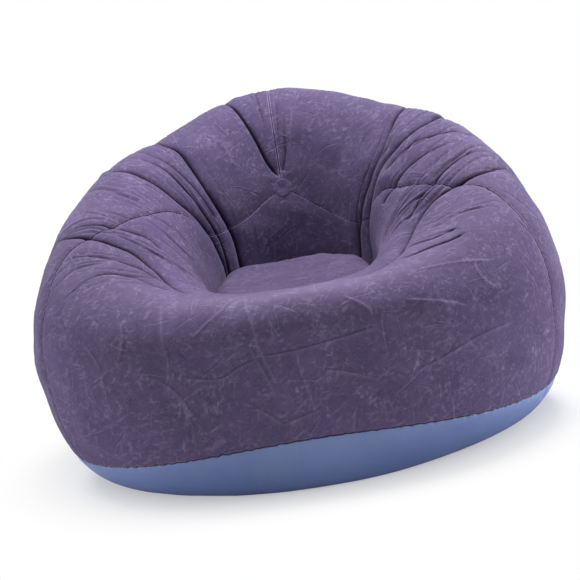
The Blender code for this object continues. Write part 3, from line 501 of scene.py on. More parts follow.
# %% Welds
def weld_lines():
    """The three welds between the gores, each in the same number of points, and the weld round the base."""
    lines = [place(SEAMS_UP[sign][:, 0] * sign, SEAMS_UP[sign][:, 1]) for sign in (-1, 1)]
    lines.append(place(*SEAM_BACK.T))
    even = np.linspace(0, 1, 420)
    lines = [np.stack([np.interp(even, np.linspace(0, 1, len(p)), p[:, k]) for k in range(3)], -1)
             for p in lines]
    round_base = np.linspace(-180, 180, 1200)
    return lines, place(round_base, base_level(round_base))


WELDS, BASE_WELD = weld_lines()
# How wide the valley at a weld is and how deep, in metres: between gores, and at the base.
GORE_VALLEY, BASE_VALLEY = (0.0060, 0.0045), (0.0050, 0.0032)
# How far off a weld is still felt, how far its puckers reach, and how far the base weld sways up and down.
WELD_FELT, PUCKERED, BASE_SWAY = 0.030, 0.010, 0.0007


def ruffle(run, seed):
    """Uneven small waves along a weld."""
    rng = np.random.default_rng(seed)
    return sum(np.sin(run * 2 * np.pi / rng.uniform(0.011, 0.034) + rng.uniform(0, 6))
               for _ in range(5)) / 2.4


def press_welds(points, normals):
    """The valleys at the welds, the distance to the nearest weld, and how the base weld sways up and down."""
    depth, distance = np.zeros(len(points)), np.full(len(points), WELD_FELT)
    aside = np.zeros_like(points)
    for k, path in enumerate(WELDS + [BASE_WELD]):
        base = k == len(WELDS)
        width, deep = BASE_VALLEY if base else GORE_VALLEY
        i, at, offset = nearest_on(path, points, WELD_FELT)
        ways = ways_along(path)[at]
        along = (offset * ways).sum(-1)
        run = np.concatenate([[0], np.cumsum(np.linalg.norm(np.diff(path, axis=0), axis=1))])[at] + along
        away = np.linalg.norm(offset - ways * along[:, None], axis=1)
        distance[i] = np.minimum(distance[i], away)
        uneven = 1 + 0.30 * ruffle(run, 31 + k) * np.exp(-away / PUCKERED)
        depth[i] = np.maximum(depth[i], deep * uneven * np.exp(-np.sqrt((away / width) ** 2 + 0.02) + 0.141))
        if base:
            sway = BASE_SWAY * ruffle(run, 47) * bell(away, PUCKERED)
            aside[i] += sway[:, None] * np.cross(ways, normals[i])
    return depth, distance, aside


print("the base weld is drawn through", len(BASE_WELD), "points, and the others through", len(WELDS[0]))

# %% [markdown]
# ## The finished place of a point
# Everything that moves the skin now comes together in one function, so that panels which share a weld
# move alike. It also hands back what the finish needs to know and can't work out for itself: the painted
# shade in folds, wrinkles and the low back, how worn its flock is together with the painted highlight on
# the rim, how far it is from a weld, and which way is out.

# %% The finished skin
TUFT = place(180.0, TUFT_LEVEL)
# Folds and wrinkles stop under the tuft patch: nothing moves nearer to its middle than the first distance,
# and past it everything comes back over the second.
TUFT_STILL, TUFT_SPREAD = 0.014, 0.016
# How near to a weld dents and wrinkles stop, and how much shallower the valley of a pale weld is.
DENTS_STOP, WRINKLES_STOP, PALE_SHALLOWER = 0.025, 0.012, 0.65
# Heights of broad dents, small dents and crumples, in metres, and the share that the smooth base gets.
BROAD_DENT, SMALL_DENT, CRUMPLE, ON_BASE = 0.0016, 0.0009, 0.0006, 0.25
# The height of a wrinkle's lip that is fully worn pale, and the depth of its valley that gets full painted
# shade.
LIP_WORN, VALLEY_DARK = 0.0012, 0.0016
# Where a lobe ends at a fold on the rim, its corner stands up a little: direction, level, height and reach.
TIPS = ((-101.5, 1.08, 0.0085, 0.015), (-132, 0.97, 0.006, 0.013), (-168, 1.0, 0.004, 0.014),
        (122.5, 0.98, 0.006, 0.013), (102.5, 1.02, 0.008, 0.014), (79, 1.3, 0.005, 0.014))


def tips(points):
    """How high the corners of the lobes stand up."""
    return sum(high * np.exp(-((points - place(turn, level)) ** 2).sum(-1) / reach ** 2)
               for turn, level, high, reach in TIPS)


def painted_weld_highlight(turn, level):
    """Where a painted highlight runs along the weld: inside the back, and on the right front corner, which
    light grazes.
    """
    back = ramp((np.abs(turn) - 100) / 8) * ramp((1.05 - level) / 0.1)
    corner = ramp((turn - 50) / 4) * ramp((72 - turn) / 4)
    corner = corner * bell(level - 1.55, 0.25)
    return np.maximum(back, corner * 0.6)


def rim_highlight_and_rubbed_flock(turn, level, from_tuft):
    """A painted highlight along the rim, most in front, over flock rubbed pale there; and round the tuft,
    flock rubbed pale, which also paints light over the shadow at the patch's edge.
    """
    rim = bell(level - 1.14, 0.27) * ramp((150 - np.abs(turn)) / 60)
    rim *= 0.85 + 1.15 * bell(turn - 5, 30)
    return rim + 1.2 * bell(from_tuft, 0.025)


def low_back_shade(turn, level):
    """Painted shade low in the back of the well."""
    return bell(level, 0.28) * ramp((np.abs(turn) - 110) / 40)


def shaped(turn, level):
    """The finished skin: points, the way out of it, and what its finish reads."""
    points, normals = place(turn, level), outward(turn, level)
    folded, dark = press_folds(points, normals)
    weld, distance, sway = press_welds(points, normals)
    well = painted_weld_highlight(turn, level)
    weld *= 1 - PALE_SHALLOWER * well
    packed, worn, low = press_packed(points, normals)
    wrinkled = press_wrinkles(points)
    calm = ramp(distance / DENTS_STOP) * ramp((level + 0.6) / 0.8)
    lines = crumple(points, 0.075, 5) + 0.8 * crumple(points, 0.042, 8)
    flock = level < base_level(turn)
    dents = BROAD_DENT * waves(points, 0.20, 12, 3) + SMALL_DENT * waves(points, 0.09, 14, 4)
    dents = dents + CRUMPLE * lines
    from_tuft = np.linalg.norm(points - TUFT, axis=1)
    off_tuft = ramp((from_tuft - TUFT_STILL) / TUFT_SPREAD)
    rise = (wrinkled + packed) * ramp(distance / WRINKLES_STOP + 0.3)
    rise = rise + calm * dents * np.where(flock, 1, ON_BASE)
    rise += tips(points) - weld
    moved = (folded + sway + normals * rise[:, None]) * off_tuft[:, None]
    wear_and_highlight = ramp(wrinkled / LIP_WORN) + lines * calm * 0.6 + worn * 1.7
    wear_and_highlight = flock * (wear_and_highlight + rim_highlight_and_rubbed_flock(turn, level, from_tuft))
    # Painted shade in the valleys of the wrinkles.
    valleys = ramp(-wrinkled / VALLEY_DARK)
    # Painted shade: fold bottoms and their shadows, wrinkle valleys, the low side of packing creases and the
    # low back.
    dark = np.max([dark, 0.4 * valleys, 0.28 * low, 0.30 * low_back_shade(turn, level)], axis=0)
    carried = {"dark": dark * off_tuft, "wear_and_highlight": wear_and_highlight,
               "weld": distance * np.where(level > 1.1, 0.75, 1), "well": well, "way": normals}
    pulled_in = 0.003 * bell(from_tuft, 0.030)
    return points + moved - normals * pulled_in[:, None], normals, carried


print("tuft at", [round(v, 4) for v in TUFT])

# %% [markdown]
# ## A grid that is fine only where the skin is busy
# Each panel starts as a flat grid whose vertices know their direction and level. Columns end evenly along
# the weld, and rows are even along each column. A crease is a few millimetres wide, much finer than such
# a grid, and a grid that fine all over would be far too heavy. So the grid is split once near every line
# on the skin, and a second time near the folds and the welds, before it is laid.

FINE = 1.0
# How near the grid is split, in metres: to a fold, to the crease of a fold, to a weld, and to a short line.
FOLD_REACH, CREASE_REACH, WELD_REACH, LINE_REACH = 0.026, 0.010, 0.014, 0.006
ALL_WELDS = WELDS + [BASE_WELD]
FINE_LINES = [(line, FOLD_REACH) for line in FOLD_LINES] + [(line, WELD_REACH) for line in ALL_WELDS]
FINE_LINES += [(line, LINE_REACH) for line in [wrinkle[0] for wrinkle in WRINKLES] + PACKED_LINES]
FINEST_LINES = [(line, CREASE_REACH) for line in FOLD_LINES] + [(line, LINE_REACH) for line in ALL_WELDS]
print("the grid is split near", len(FINE_LINES), "lines, and again near", len(FINEST_LINES))


# %% The grid
def evenly(turn, level, rows):
    """Each column of a table spaced again, in rows that are even over the skin."""
    points = place(turn, level)
    run = np.linalg.norm(np.diff(points, axis=1), axis=2).cumsum(1)
    run = np.concatenate([np.zeros((len(run), 1)), run], axis=1)
    at = np.linspace(0, 1, rows + 1)
    return [np.array([np.interp(at * r[-1], r, values) if r[-1] > 0 else values[:1].repeat(rows + 1)
                      for r, values in zip(run, table)]) for table in (turn, level)]


def flat_grid(turn, level, welded_rows):
    """A grid whose vertices carry a table's directions and levels, and whether they are on a welded side."""
    columns, rows = turn.shape[0] - 1, turn.shape[1] - 1
    bm = bmesh.new()
    bmesh.ops.create_grid(bm, x_segments=columns, y_segments=rows, size=0.5)
    turns, levels, fin, _ = (bm.verts.layers.float.new(label) for label in ("turn", "level", "fin", "spot"))
    welded = [side % (rows + 1) for side in welded_rows]
    for v in bm.verts:
        i, j = round((v.co.x + 0.5) * columns), round((v.co.y + 0.5) * rows)
        v[turns] = turn[i, j]
        v[levels] = level[i, j]
        v[fin] = float(j in welded)
    return bm


def places_of(bm):
    """The directions and the levels of a grid's vertices."""
    turns, levels = (bm.verts.layers.float[label] for label in ("turn", "level"))
    return np.array([(v[turns], v[levels]) for v in bm.verts]).T


def split_near(bm, lines):
    """Halves the edges of a grid that lie within reach of a line."""
    spots = place(*places_of(bm))
    close = np.zeros(len(spots), bool)
    for line, reach in lines:
        close[nearest_on(line, spots, reach)[0]] = True
    for v, near in zip(bm.verts, close):
        v.tag = bool(near)
    edges = [e for e in bm.edges if e.verts[0].tag and e.verts[1].tag]
    bmesh.ops.subdivide_edges(bm, edges=edges, cuts=1, use_grid_fill=True)


# %% [markdown]
# ## Where the valve sits
# The valve is a hard little moulding that is welded into the soft right rear gore, so the film has to
# meet it in a true circle. The edge of that hole is one more line for the grid to be fine along.

# %% The valve's place
# The middle of the valve and the way that it faces, the two ways across it, and the radius of the film's
# hole.
VALVE_AT = np.array([0.288865, 0.3296255, 0.1866117])
VALVE_OUT = np.array([0.8188462, 0.5722463, -0.0450007])
VALVE_ACROSS = np.array([0.5728266, -0.8196766, 0])
VALVE_DOWN = np.array([-0.036887, -0.025778, -0.998987])
NECK_HOLE = 0.0173
NECK_TURN = np.linspace(0, 2 * np.pi, 60)[:, None]
NECK_LINE = VALVE_AT + NECK_HOLE * (np.cos(NECK_TURN) * VALVE_ACROSS + np.sin(NECK_TURN) * VALVE_DOWN)
print("the valve is", round(float(VALVE_AT[2]), 3), "m above the floor")

# %% [markdown]
# ## Laying a panel
# Laying a grid is one call for every panel. The panel's surface gives three things for its directions and
# levels: the points, the ways out, and the values that the finish reads. The hole is opened in the
# finished skin, and the fins come last. A fin is the welded side extruded inwards, as the real film is
# turned in, so that two panels meet as two thicknesses and not in one bare edge.

# %% Laying a panel
# How far the fins reach in, and how far each stands back from the weld, so that two fins don't touch.
FIN_DEPTH, FIN_BACK = 0.006, 0.0008


def add_fins(bm, ways):
    """Extrudes the welded sides of a laid panel inwards."""
    fin, spot = (bm.verts.layers.float[label] for label in ("fin", "spot"))
    sides = [e for e in bm.edges if e.is_boundary and all(v[fin] > 0.99 for v in e.verts)]
    inwards = {}
    for v in {v for e in sides for v in e.verts}:
        ahead = sum((e.other_vert(v).co - v.co for e in v.link_edges if not e.is_boundary), Vector())
        inwards[v[spot]] = ahead.normalized()
    made = bmesh.ops.extrude_edge_only(bm, edges=sides)
    for v in (g for g in made["geom"] if isinstance(g, bmesh.types.BMVert)):
        v.co += Vector(ways[int(v[spot])]) * -FIN_DEPTH + inwards[v[spot]] * FIN_BACK


def handed_over(name, bm, carried):
    """The finished mesh as an object, with what its finish reads as attributes."""
    mesh = bpy.data.meshes.new(name)
    bm.to_mesh(mesh)
    bm.free()
    if carried:
        spots = np.zeros(len(mesh.vertices), np.float32)
        mesh.attributes["spot"].data.foreach_get("value", spots)
        for label in ("spot", "turn", "level", "fin"):
            mesh.attributes.remove(mesh.attributes[label])
        for label, values in carried.items():
            flat = values[spots.astype(int)].astype(np.float32)
            kind, field = ("FLOAT", "value") if flat.ndim == 1 else ("FLOAT_VECTOR", "vector")
            mesh.attributes.new(label, kind, "POINT").data.foreach_set(field, flat.ravel())
    mesh.shade_smooth()
    obj = bpy.data.objects.new(name, mesh)
    bpy.context.scene.collection.objects.link(obj)
    mesh.calc_loop_triangles()
    print(name, len(mesh.loop_triangles), "triangles")
    return obj


def lay(name, table, surface, welded_rows, hole=None, finer=True):
    """A panel laid on a table, by a surface that gives points, ways out and what the finish reads."""
    bm = flat_grid(*table, welded_rows)
    round_hole = [(NECK_LINE, WELD_REACH)] if hole else []
    if finer:
        split_near(bm, FINE_LINES + round_hole)
    if finer:
        split_near(bm, FINEST_LINES + round_hole)
    points, ways, carried = surface(*places_of(bm))
    spot = bm.verts.layers.float["spot"]
    for k, v in enumerate(bm.verts):
        v.co = points[k]
        v[spot] = k
    bm.normal_update()
    if sum(f.normal @ Vector(ways[int(f.verts[0][spot])]) for f in list(bm.faces)[::97]) < 0:
        bmesh.ops.reverse_faces(bm, faces=bm.faces)
    bmesh.ops.remove_doubles(bm, verts=[v for v in bm.verts if v.is_boundary], dist=1e-6)
    bmesh.ops.dissolve_degenerate(bm, dist=1e-7, edges=[e for e in bm.edges if e.is_boundary])
    if hole:
        hole(bm)
    add_fins(bm, ways)
    return handed_over(name, bm, carried)


# %% [markdown]
# ## The front gore
# One piece of flocked film makes the whole front, the inside of both arms and the inside of the back. It
# starts at the crease round the seat, so it is a ring, and its outer edge is the weld: along the base in
# front, up each corner, over the arms and down to the tuft.

# %% Front gore
# The direction at which the weld has come down inside the arm, and the one in which the column that ends
# at the base corner starts.
WELL_TURN, CORNER_START = 76.0, 46.0


def front_table(count, rows):
    """Columns from the seat crease out to the weld, the left half and then the right."""
    halves = []
    for sign in (-1, 1):
        base = np.stack([np.linspace(0, CORNER, 60), base_level(np.linspace(0, CORNER, 60))], -1)
        end_turn, end_level, _ = spaced(np.concatenate([base, SEAMS_UP[sign][1:]]), count, sign)
        corner = np.flatnonzero(end_turn >= CORNER - 0.01)[0]
        turned = np.flatnonzero((end_turn >= WELL_TURN) & (end_level < 1))[0]
        start = end_turn.copy()
        start[:corner] *= CORNER_START / CORNER
        fan = np.linspace(0, 1, turned - corner + 1)[:-1]
        start[corner:turned] = CORNER_START + (start[turned] - CORNER_START) * fan
        share = np.linspace(0, 1, 200)
        level = -1 + (end_level[:, None] + 1) * share
        turn = start[:, None] + (end_turn - start)[:, None] * share
        turn, level = evenly(turn, level, rows)
        halves.append((sign * turn, level))
    (left, left_level), (right, right_level) = halves
    return np.concatenate([left[::-1], right[1:]]), np.concatenate([left_level[::-1], right_level[1:]])


front_gore = lay("front_gore", front_table(int(300 * FINE), int(170 * FINE)), shaped, (0, -1))
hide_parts("front_panel")
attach(front_gore, "chair")

# %% [markdown]
# ## The two rear gores
# They are three-sided: a tip at the front base corner, the weld shared with the front gore, the weld down
# the middle of the back, and the base. Their columns fan out from the tip. The right one is held flat
# round the valve.

# %% The table of a rear gore
# Columns that start on the upper weld at these directions end on the base at those.
UPPER_TURNS, BASE_TURNS = (WELL_TURN, 104, 180), (88, 107, 180)


def back_table(sign, count, rows):
    """Columns from the upper weld to the base, which keep their direction up to the rim and then fan out."""
    top_turn, top_level, _ = spaced(SEAMS_UP[sign], count, sign)
    turned = np.flatnonzero((top_turn >= WELL_TURN) & (top_level < 1))[0]
    low_turn = np.interp(top_turn, UPPER_TURNS, BASE_TURNS)
    low_turn[:turned] = CORNER + (low_turn[turned] - CORNER) * np.linspace(0, 1, turned + 1)[:-1]
    low_level = base_level(low_turn)
    share = np.linspace(0, 1, 300)
    level = top_level[:, None] + (low_level - top_level)[:, None] * share
    bend = np.maximum(1, top_level)[:, None]
    bend = ramp((level - bend) / np.maximum(low_level[:, None] - bend, 1e-6))
    turn = top_turn[:, None] + (low_turn - top_turn)[:, None] * bend
    turn, level = evenly(turn, level, rows)
    return sign * turn, level


# %% The film round the valve
# The film is free beyond this radius from the valve, and flat once it's this much nearer, in metres.
FREE_RADIUS, FLAT_BLEND = 0.062, 0.030
# The ring that the weld presses: its radius, width and depth. The film's hole is opened a little wide at
# first.
RING_RADIUS, RING_WIDTH, RING_DEPTH, HOLE_SLACK = 0.0235, 0.0016, 0.0006, 0.0012


def flat_at_valve(points):
    """The film lies flat over the welded flange, with the ring of the weld pressed into it."""
    away = points - VALVE_AT
    height = away @ VALVE_OUT
    radius = np.linalg.norm(away - height[..., None] * VALVE_OUT, axis=-1)
    near = ramp((FREE_RADIUS - radius) / FLAT_BLEND) * (np.abs(height) < 0.04)
    near = near * near * (3 - 2 * near)
    ring = RING_DEPTH * bell(radius - RING_RADIUS, RING_WIDTH) * near
    return points - ((height * near + ring)[..., None]) * VALVE_OUT


def shaped_at_valve(turn, level):
    """The skin of the right rear gore."""
    points, normals, carried = shaped(turn, level)
    return flat_at_valve(points), normals, carried


def off_axis(spot):
    """How a spot on the film lies off the valve's axis. On the far side of the chair, it's simply far off."""
    away, out = spot - Vector(VALVE_AT), Vector(VALVE_OUT)
    return away - out * (away @ out) if abs(away @ out) < 0.02 else Vector((1, 1, 1))


def neck_hole(bm):
    """Opens the film round the neck of the valve and draws the edge of the opening to a circle."""
    inside = [f for f in bm.faces if off_axis(f.calc_center_median()).length < NECK_HOLE + HOLE_SLACK]
    bmesh.ops.delete(bm, geom=inside, context="FACES")
    for v in bm.verts:
        away = off_axis(v.co)
        if v.is_boundary and away.length < 0.03:
            v.co += away.normalized() * (NECK_HOLE - away.length)


# %% Rear gores
for side, surface, hole in (("left", shaped, None), ("right", shaped_at_valve, neck_hole)):
    table = back_table(-1 if side == "left" else 1, int(210 * FINE), int(180 * FINE))
    gore = lay(f"{side}_rear_gore", table, surface, (0, -1), hole=hole)
    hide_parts(f"{side}_back_panel")
    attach(gore, "chair")

# %% [markdown]
# ## The smooth base
# The base is plain vinyl without flock. It stands up as a shallow band, lowest at the three corners,
# turns under and lies flat on the floor, so the grid runs down the band and then in to the middle.

# %% Base
MIDDLE = np.array([0, CENTRE_Y, 0])


def base_table(count, rows, rings):
    """Rows down the band to level 3 on the floor, and then rings in to the middle at level 4."""
    turn = np.linspace(-180, 180, count + 1)[:, None]
    down = base_level(turn) + (3 - base_level(turn)) * np.linspace(0, 1, rows + 1)
    level = np.concatenate([down, np.tile(3 + np.arange(1, rings + 1) / rings, (count + 1, 1))], axis=1)
    return np.repeat(turn, level.shape[1], axis=1), level


def base_surface(turn, level):
    """The skin down to the floor, and from there flat in to the middle."""
    points, normals, carried = shaped(turn, np.minimum(level, 3))
    points[:, 2] = points[:, 2].clip(0) * ramp((3 - level) / 0.02)
    normals[level > 2.999] = (0, 0, -1)
    return points + (MIDDLE - points) * ramp(level - 3)[:, None], normals, carried


base_pan = lay("base_pan", base_table(int(520 * FINE), int(28 * FINE), 6), base_surface, (0,))
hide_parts("base_panel")
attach(base_pan, "chair")

# %% [markdown]
# ## The seat
# The seat is a disc of flocked film, tied down round its edge, so the air crowns it steeply at the edge
# and almost flat in the middle. A soft roll crosses it where the film is slack, and small wrinkles run in
# from the crease.

# %% The crown of the seat
# How high the crown is, and how much fuller round a place a little left of the middle, to what reach.
SEAT_CROWN = 0.075
SEAT_FULLER, FULLER_AT, FULLER_REACH = 0.012, (-0.10, 0.05), 0.075
SEAT_MIDDLE = np.array([0, CENTRE_Y, HEIGHT * CREASE_HEIGHT])


def seat_table(count, rows):
    """Directions, and shares of the way out from the middle, closer together at the steep edge."""
    share = (1 - np.linspace(0, 1, rows + 1)) ** 0.6
    return np.repeat(np.linspace(-180, 180, count + 1)[:, None], rows + 1, 1), np.tile(share, (count + 1, 1))


def seat_dome(turn, share):
    """The crown alone, which rises steeply near the crease and is nearly flat inside it."""
    points = SEAT_MIDDLE + (place(turn, -1.0) - SEAT_MIDDLE) * share[:, None]
    aside = ((points[:, :2] - FULLER_AT) ** 2).sum(-1)
    rise = SEAT_CROWN + SEAT_FULLER * np.exp(-aside / FULLER_REACH ** 2)
    points[:, 2] += rise * (1 - share.clip(0, 1) ** 13) ** 0.42
    return points


def seat_ways(turn, share):
    """The ways out of the crown."""
    points, step = seat_dome(turn, share), 1e-3
    ways = np.cross(seat_dome(turn + 0.1, share) - points, seat_dome(turn, share - step) - points)
    ways[(share < 0.01)] = (0, 0, 1)
    ways /= np.maximum(np.linalg.norm(ways, axis=-1, keepdims=True), 1e-12)
    return ways * np.sign(ways[:, 2:] + 1e-9)


print("the seat stands", round(float(seat_dome(np.zeros(1), np.zeros(1))[0, 2]), 3), "m high")


# %% Seat
def seat_roll(points):
    """A soft roll that curves across the slack film, with a valley behind it."""
    ahead = points[:, 1] - (0.052 - 1.5 * (points[:, 0] - 0.03) ** 2)
    roll = 0.0042 * bell(ahead, 0.022) - 0.0050 * bell(ahead - 0.030, 0.013)
    return roll * np.exp(-(points[:, 0] / 0.12) ** 4)


def seat_gathers(turn, share):
    """Wrinkles that run in from the crease, and the depth that they press the seat to."""
    spokes = np.random.default_rng(21)
    depth = np.zeros(len(share))
    for _ in range(46):
        at, wide = spokes.uniform(-180, 180), spokes.uniform(0.8, 2.2)
        reach, high = spokes.uniform(0.1, 0.35), spokes.uniform(0.0008, 0.0024)
        apart = (turn - at - 14 * (1 - share) * spokes.normal() + 180) % 360 - 180
        apart *= share / wide
        near = ramp((share - 1 + reach) / reach)
        depth += high * (1 - 1.3 * apart ** 2) * np.exp(-apart ** 2) * near
    return depth


def seat_surface(turn, share):
    """The crown with its roll, dents and wrinkles, which all stop at the crease."""
    points, ways = seat_dome(turn, share), seat_ways(turn, share)
    lines = crumple(points, 0.06, 15) + 0.8 * crumple(points, 0.035, 18)
    dents = 0.0022 * waves(points, 0.12, 12, 13) + 0.0009 * waves(points, 0.05, 12, 14)
    calm = ramp((1 - share) / 0.15)
    rise = (seat_roll(points) + dents + CRUMPLE * lines) * calm - seat_gathers(turn, share)
    none = np.zeros(len(share))
    # Painted shade: the seat darkens steeply towards the crease, and a little all over.
    carried = {"dark": np.maximum(share ** 14, 0.33), "weld": none + WELD_FELT, "wear_and_highlight": lines * calm,
               "well": none, "way": ways}
    return points + ways * rise[:, None], ways, carried


seat = lay("seat_gore", seat_table(int(420 * FINE), int(110 * FINE)), seat_surface, (0,), finer=False)
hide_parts("seat_panel")
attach(seat, "chair")

# %% [markdown]
# ## The tuft
# A round patch of the same flock covers the point where the three gores are pinched together. It's draped
# over the finished skin, so that it follows the puckers under it.

# %% Tuft patch
TUFT_RADIUS, TUFT_LIFT = 0.0205, 0.0005
# The patch in section from its middle out: shares of the radius, and heights in metres.
TUFT_SECTION = ((0, -0.0004), (0.12, 0.0), (0.3, 0.0003), (0.5, 0.0005), (0.7, 0.0005), (0.85, 0.0003),
                (0.94, 0.0001), (1, -0.0003), (1.02, -0.0010))


def spun_patch():
    """The flat patch, spun from its section, with a slightly puckered top."""
    bm = bmesh.new()
    spine = [bm.verts.new((TUFT_RADIUS * r, 0, h)) for r, h in TUFT_SECTION]
    for a, b in zip(spine, spine[1:]):
        bm.edges.new((a, b))
    bmesh.ops.spin(bm, geom=bm.verts[:] + bm.edges[:], cent=(0, 0, 0), axis=(0, 0, 1), dvec=(0, 0, 0),
                   angle=2 * math.pi, steps=72, use_merge=True, use_duplicate=False)
    bmesh.ops.remove_doubles(bm, verts=bm.verts, dist=1e-6)
    for v in bm.verts:
        way_round = math.atan2(v.co.y, v.co.x)
        pucker = 0.00035 * math.cos(7 * way_round + 1) * math.cos(3 * way_round)
        v.co.z += pucker * min(1, v.co.xy.length / 0.012) * 0.7
    return bm


def draped(bm):
    """Moves the flat patch onto the skin round the tuft, raised by its own height."""
    flat = np.array([v.co for v in bm.verts])
    radius = float(np.linalg.norm((TUFT - MIDDLE)[:2]))
    up = place(180.0, TUFT_LEVEL + 0.01) - TUFT
    turn = 180 + np.degrees(flat[:, 0] / radius)
    level = TUFT_LEVEL + flat[:, 1] * 0.01 / np.linalg.norm(up)
    points, normals, _ = shaped(turn, level)
    for v, spot in zip(bm.verts, points + normals * (flat[:, 2] + TUFT_LIFT)[:, None]):
        v.co = spot


bm = spun_patch()
draped(bm)
bmesh.ops.recalc_face_normals(bm, faces=bm.faces)
if sum(f.normal.y for f in bm.faces) > 0:
    bmesh.ops.reverse_faces(bm, faces=bm.faces)
patch = handed_over("tuft_cover", bm, {})
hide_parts("tuft_patch")
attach(patch, "chair")

# %% [markdown]
# ## Writing a finish
# A finish is shader maths, and shader maths reads best as maths. One small class wraps a socket, so that
# + and * add their own nodes, and one method adds any other node. Only colour, roughness and bump change
# over a surface.

# %% Shader maths
class Value:
    """A number that a shader works out, with Python's own operators."""

    def __init__(self, nodes, socket):
        self.nodes, self.socket = nodes, socket

    def maths(self, operation, *terms):
        return self.nodes.add("ShaderNodeMath", {"operation": operation}, *terms)

    def __add__(self, other):
        return self.maths("ADD", self, other)

    def __sub__(self, other):
        return self.maths("SUBTRACT", self, other)

    def __rsub__(self, other):
        return self.maths("SUBTRACT", other, self)

    def __mul__(self, other):
        return self.maths("MULTIPLY", self, other)

    def __abs__(self):
        return self.maths("ABSOLUTE", self)

    def also(self, label):
        """Another output of the same node."""
        return Value(self.nodes, self.socket.node.outputs[label])

    __radd__, __rmul__ = __add__, __mul__


class Nodes:
    """A node tree that grows by calls: each call adds a node and gives back what comes out of it."""

    def __init__(self, tree):
        self.tree = tree

    def add(self, kind, settings, *values, out=0, **named):
        """A node with its settings, values for its sockets in order, and values for sockets by name."""
        node = self.tree.nodes.new(kind)
        for label, value in settings.items():
            setattr(node, label, value)
        fed = list(zip([s for s in node.inputs if s.enabled], values))
        fed += [(node.inputs[label.replace("_", " ")], value) for label, value in named.items()]
        for socket, value in fed:
            if isinstance(value, Value):
                self.tree.links.new(value.socket, socket)
            else:
                socket.default_value = value
        outs = [s for s in node.outputs if s.enabled]
        return Value(self, node.outputs[out] if isinstance(out, str) else outs[out])


# %% What a finish is written with
class Finish(Nodes):
    """A material whose nodes are added by what they do."""

    def __init__(self, name, **constants):
        self.material = bpy.data.materials.new(name)
        self.material.use_nodes = True
        super().__init__(self.material.node_tree)
        self.surface = self.tree.nodes["Principled BSDF"]
        for label, value in constants.items():
            self.surface.inputs[label.replace("_", " ")].default_value = value
        self.place = self.add("ShaderNodeTexCoord", {}, out="Object")

    def noise(self, scale, detail=2.0, rough=0.5, swirl=0.0, at=None, out="Fac"):
        return self.add("ShaderNodeTexNoise", {}, Vector=at or self.place, Scale=scale, Detail=detail,
                        Roughness=rough, Distortion=swirl, out=out)

    def step(self, value, low, high):
        """A soft step from 0 at low to 1 at high."""
        return self.add("ShaderNodeMapRange", {"interpolation_type": "SMOOTHSTEP"}, value, low, high)

    def turned(self, spin, size):
        """The place seen in a turned frame, whose axes are then stretched."""
        return self.add("ShaderNodeMapping", {"vector_type": "TEXTURE"}, self.place, (0, 0, 0), spin, size)

    def mix(self, share, first, second):
        return self.add("ShaderNodeMix", {"data_type": "RGBA"}, share, first, second)

    def carried(self, label, out="Fac"):
        """What the panel's points carry under this name."""
        return self.add("ShaderNodeAttribute", {"attribute_name": label}, out=out)

    def vector(self, operation, *terms, out="Vector"):
        return self.add("ShaderNodeVectorMath", {"operation": operation}, *terms, out=out)

    def gives(self, colour, roughness, height, depth, strength):
        """Joins the colour, the roughness and the bump, whose depth is in metres, to the surface."""
        self.tree.links.new(colour.socket, self.surface.inputs["Base Color"])
        self.tree.links.new(roughness.socket, self.surface.inputs["Roughness"])
        bump = self.add("ShaderNodeBump", {}, Strength=strength, Distance=depth, Height=height)
        self.tree.links.new(bump.socket, self.surface.inputs["Normal"])
        return self.material


def toned(colour, share=1.0):
    """A red, green and blue made darker or lighter, with the 1 that a colour socket also wants."""
    return (*(part * share for part in colour), 1)


# %% [markdown]
# ## Flock
# Flock is short fibre standing on the film, like velvet. It turns pale where it's stroked or creased,
# darkens where fibres stand straight at the eye, and glows at a glancing edge. The glow is the shader's
# sheen.
#
# Packing leaves nearly straight marks. A noise draws only soft blots, so each mark is built instead:
# every cell of a cell pattern holds one line, which lies along the skin in a direction of its own, pale
# on one side and dark on the other. Broader streaks of stroked fibre are a noise that is stretched one
# way, kept inside patches.

# %% Marks in the flock
# Colours are linear red, green and blue.
FLOCK_BASE, FLOCK_LIGHT = (0.087, 0.064, 0.140), (0.170, 0.134, 0.250)
FLOCK_PALE, FLOCK_DEEP = (0.300, 0.252, 0.400), (0.048, 0.035, 0.083)
FOLD_BOTTOM, WELD_BOTTOM = (0.010, 0.008, 0.017), (0.012, 0.009, 0.019)
# Marks of three sizes: cells in a metre, half the width of the line, how far across its cell it reaches,
# how high a slow noise has to be there for the mark to show, and how strong it is.
MARKS = ((9, 0.0024, 0.55, 0.44, 0.7), (16, 0.0020, 0.55, 0.44, 0.75), (27, 0.0016, 0.58, 0.45, 0.65))
# How far the marks are bent, in metres.
MARK_BEND = 0.020
# The frames that streaks of stroked fibre run in, as turns about the three axes.
STREAK_TURNS = ((0.3, 0.2, 0.0), (1.3, 0.4, 0.6), (0.9, -0.7, 1.9), (-0.8, 0.9, 0.2), (1.57, 0.0, 1.1))


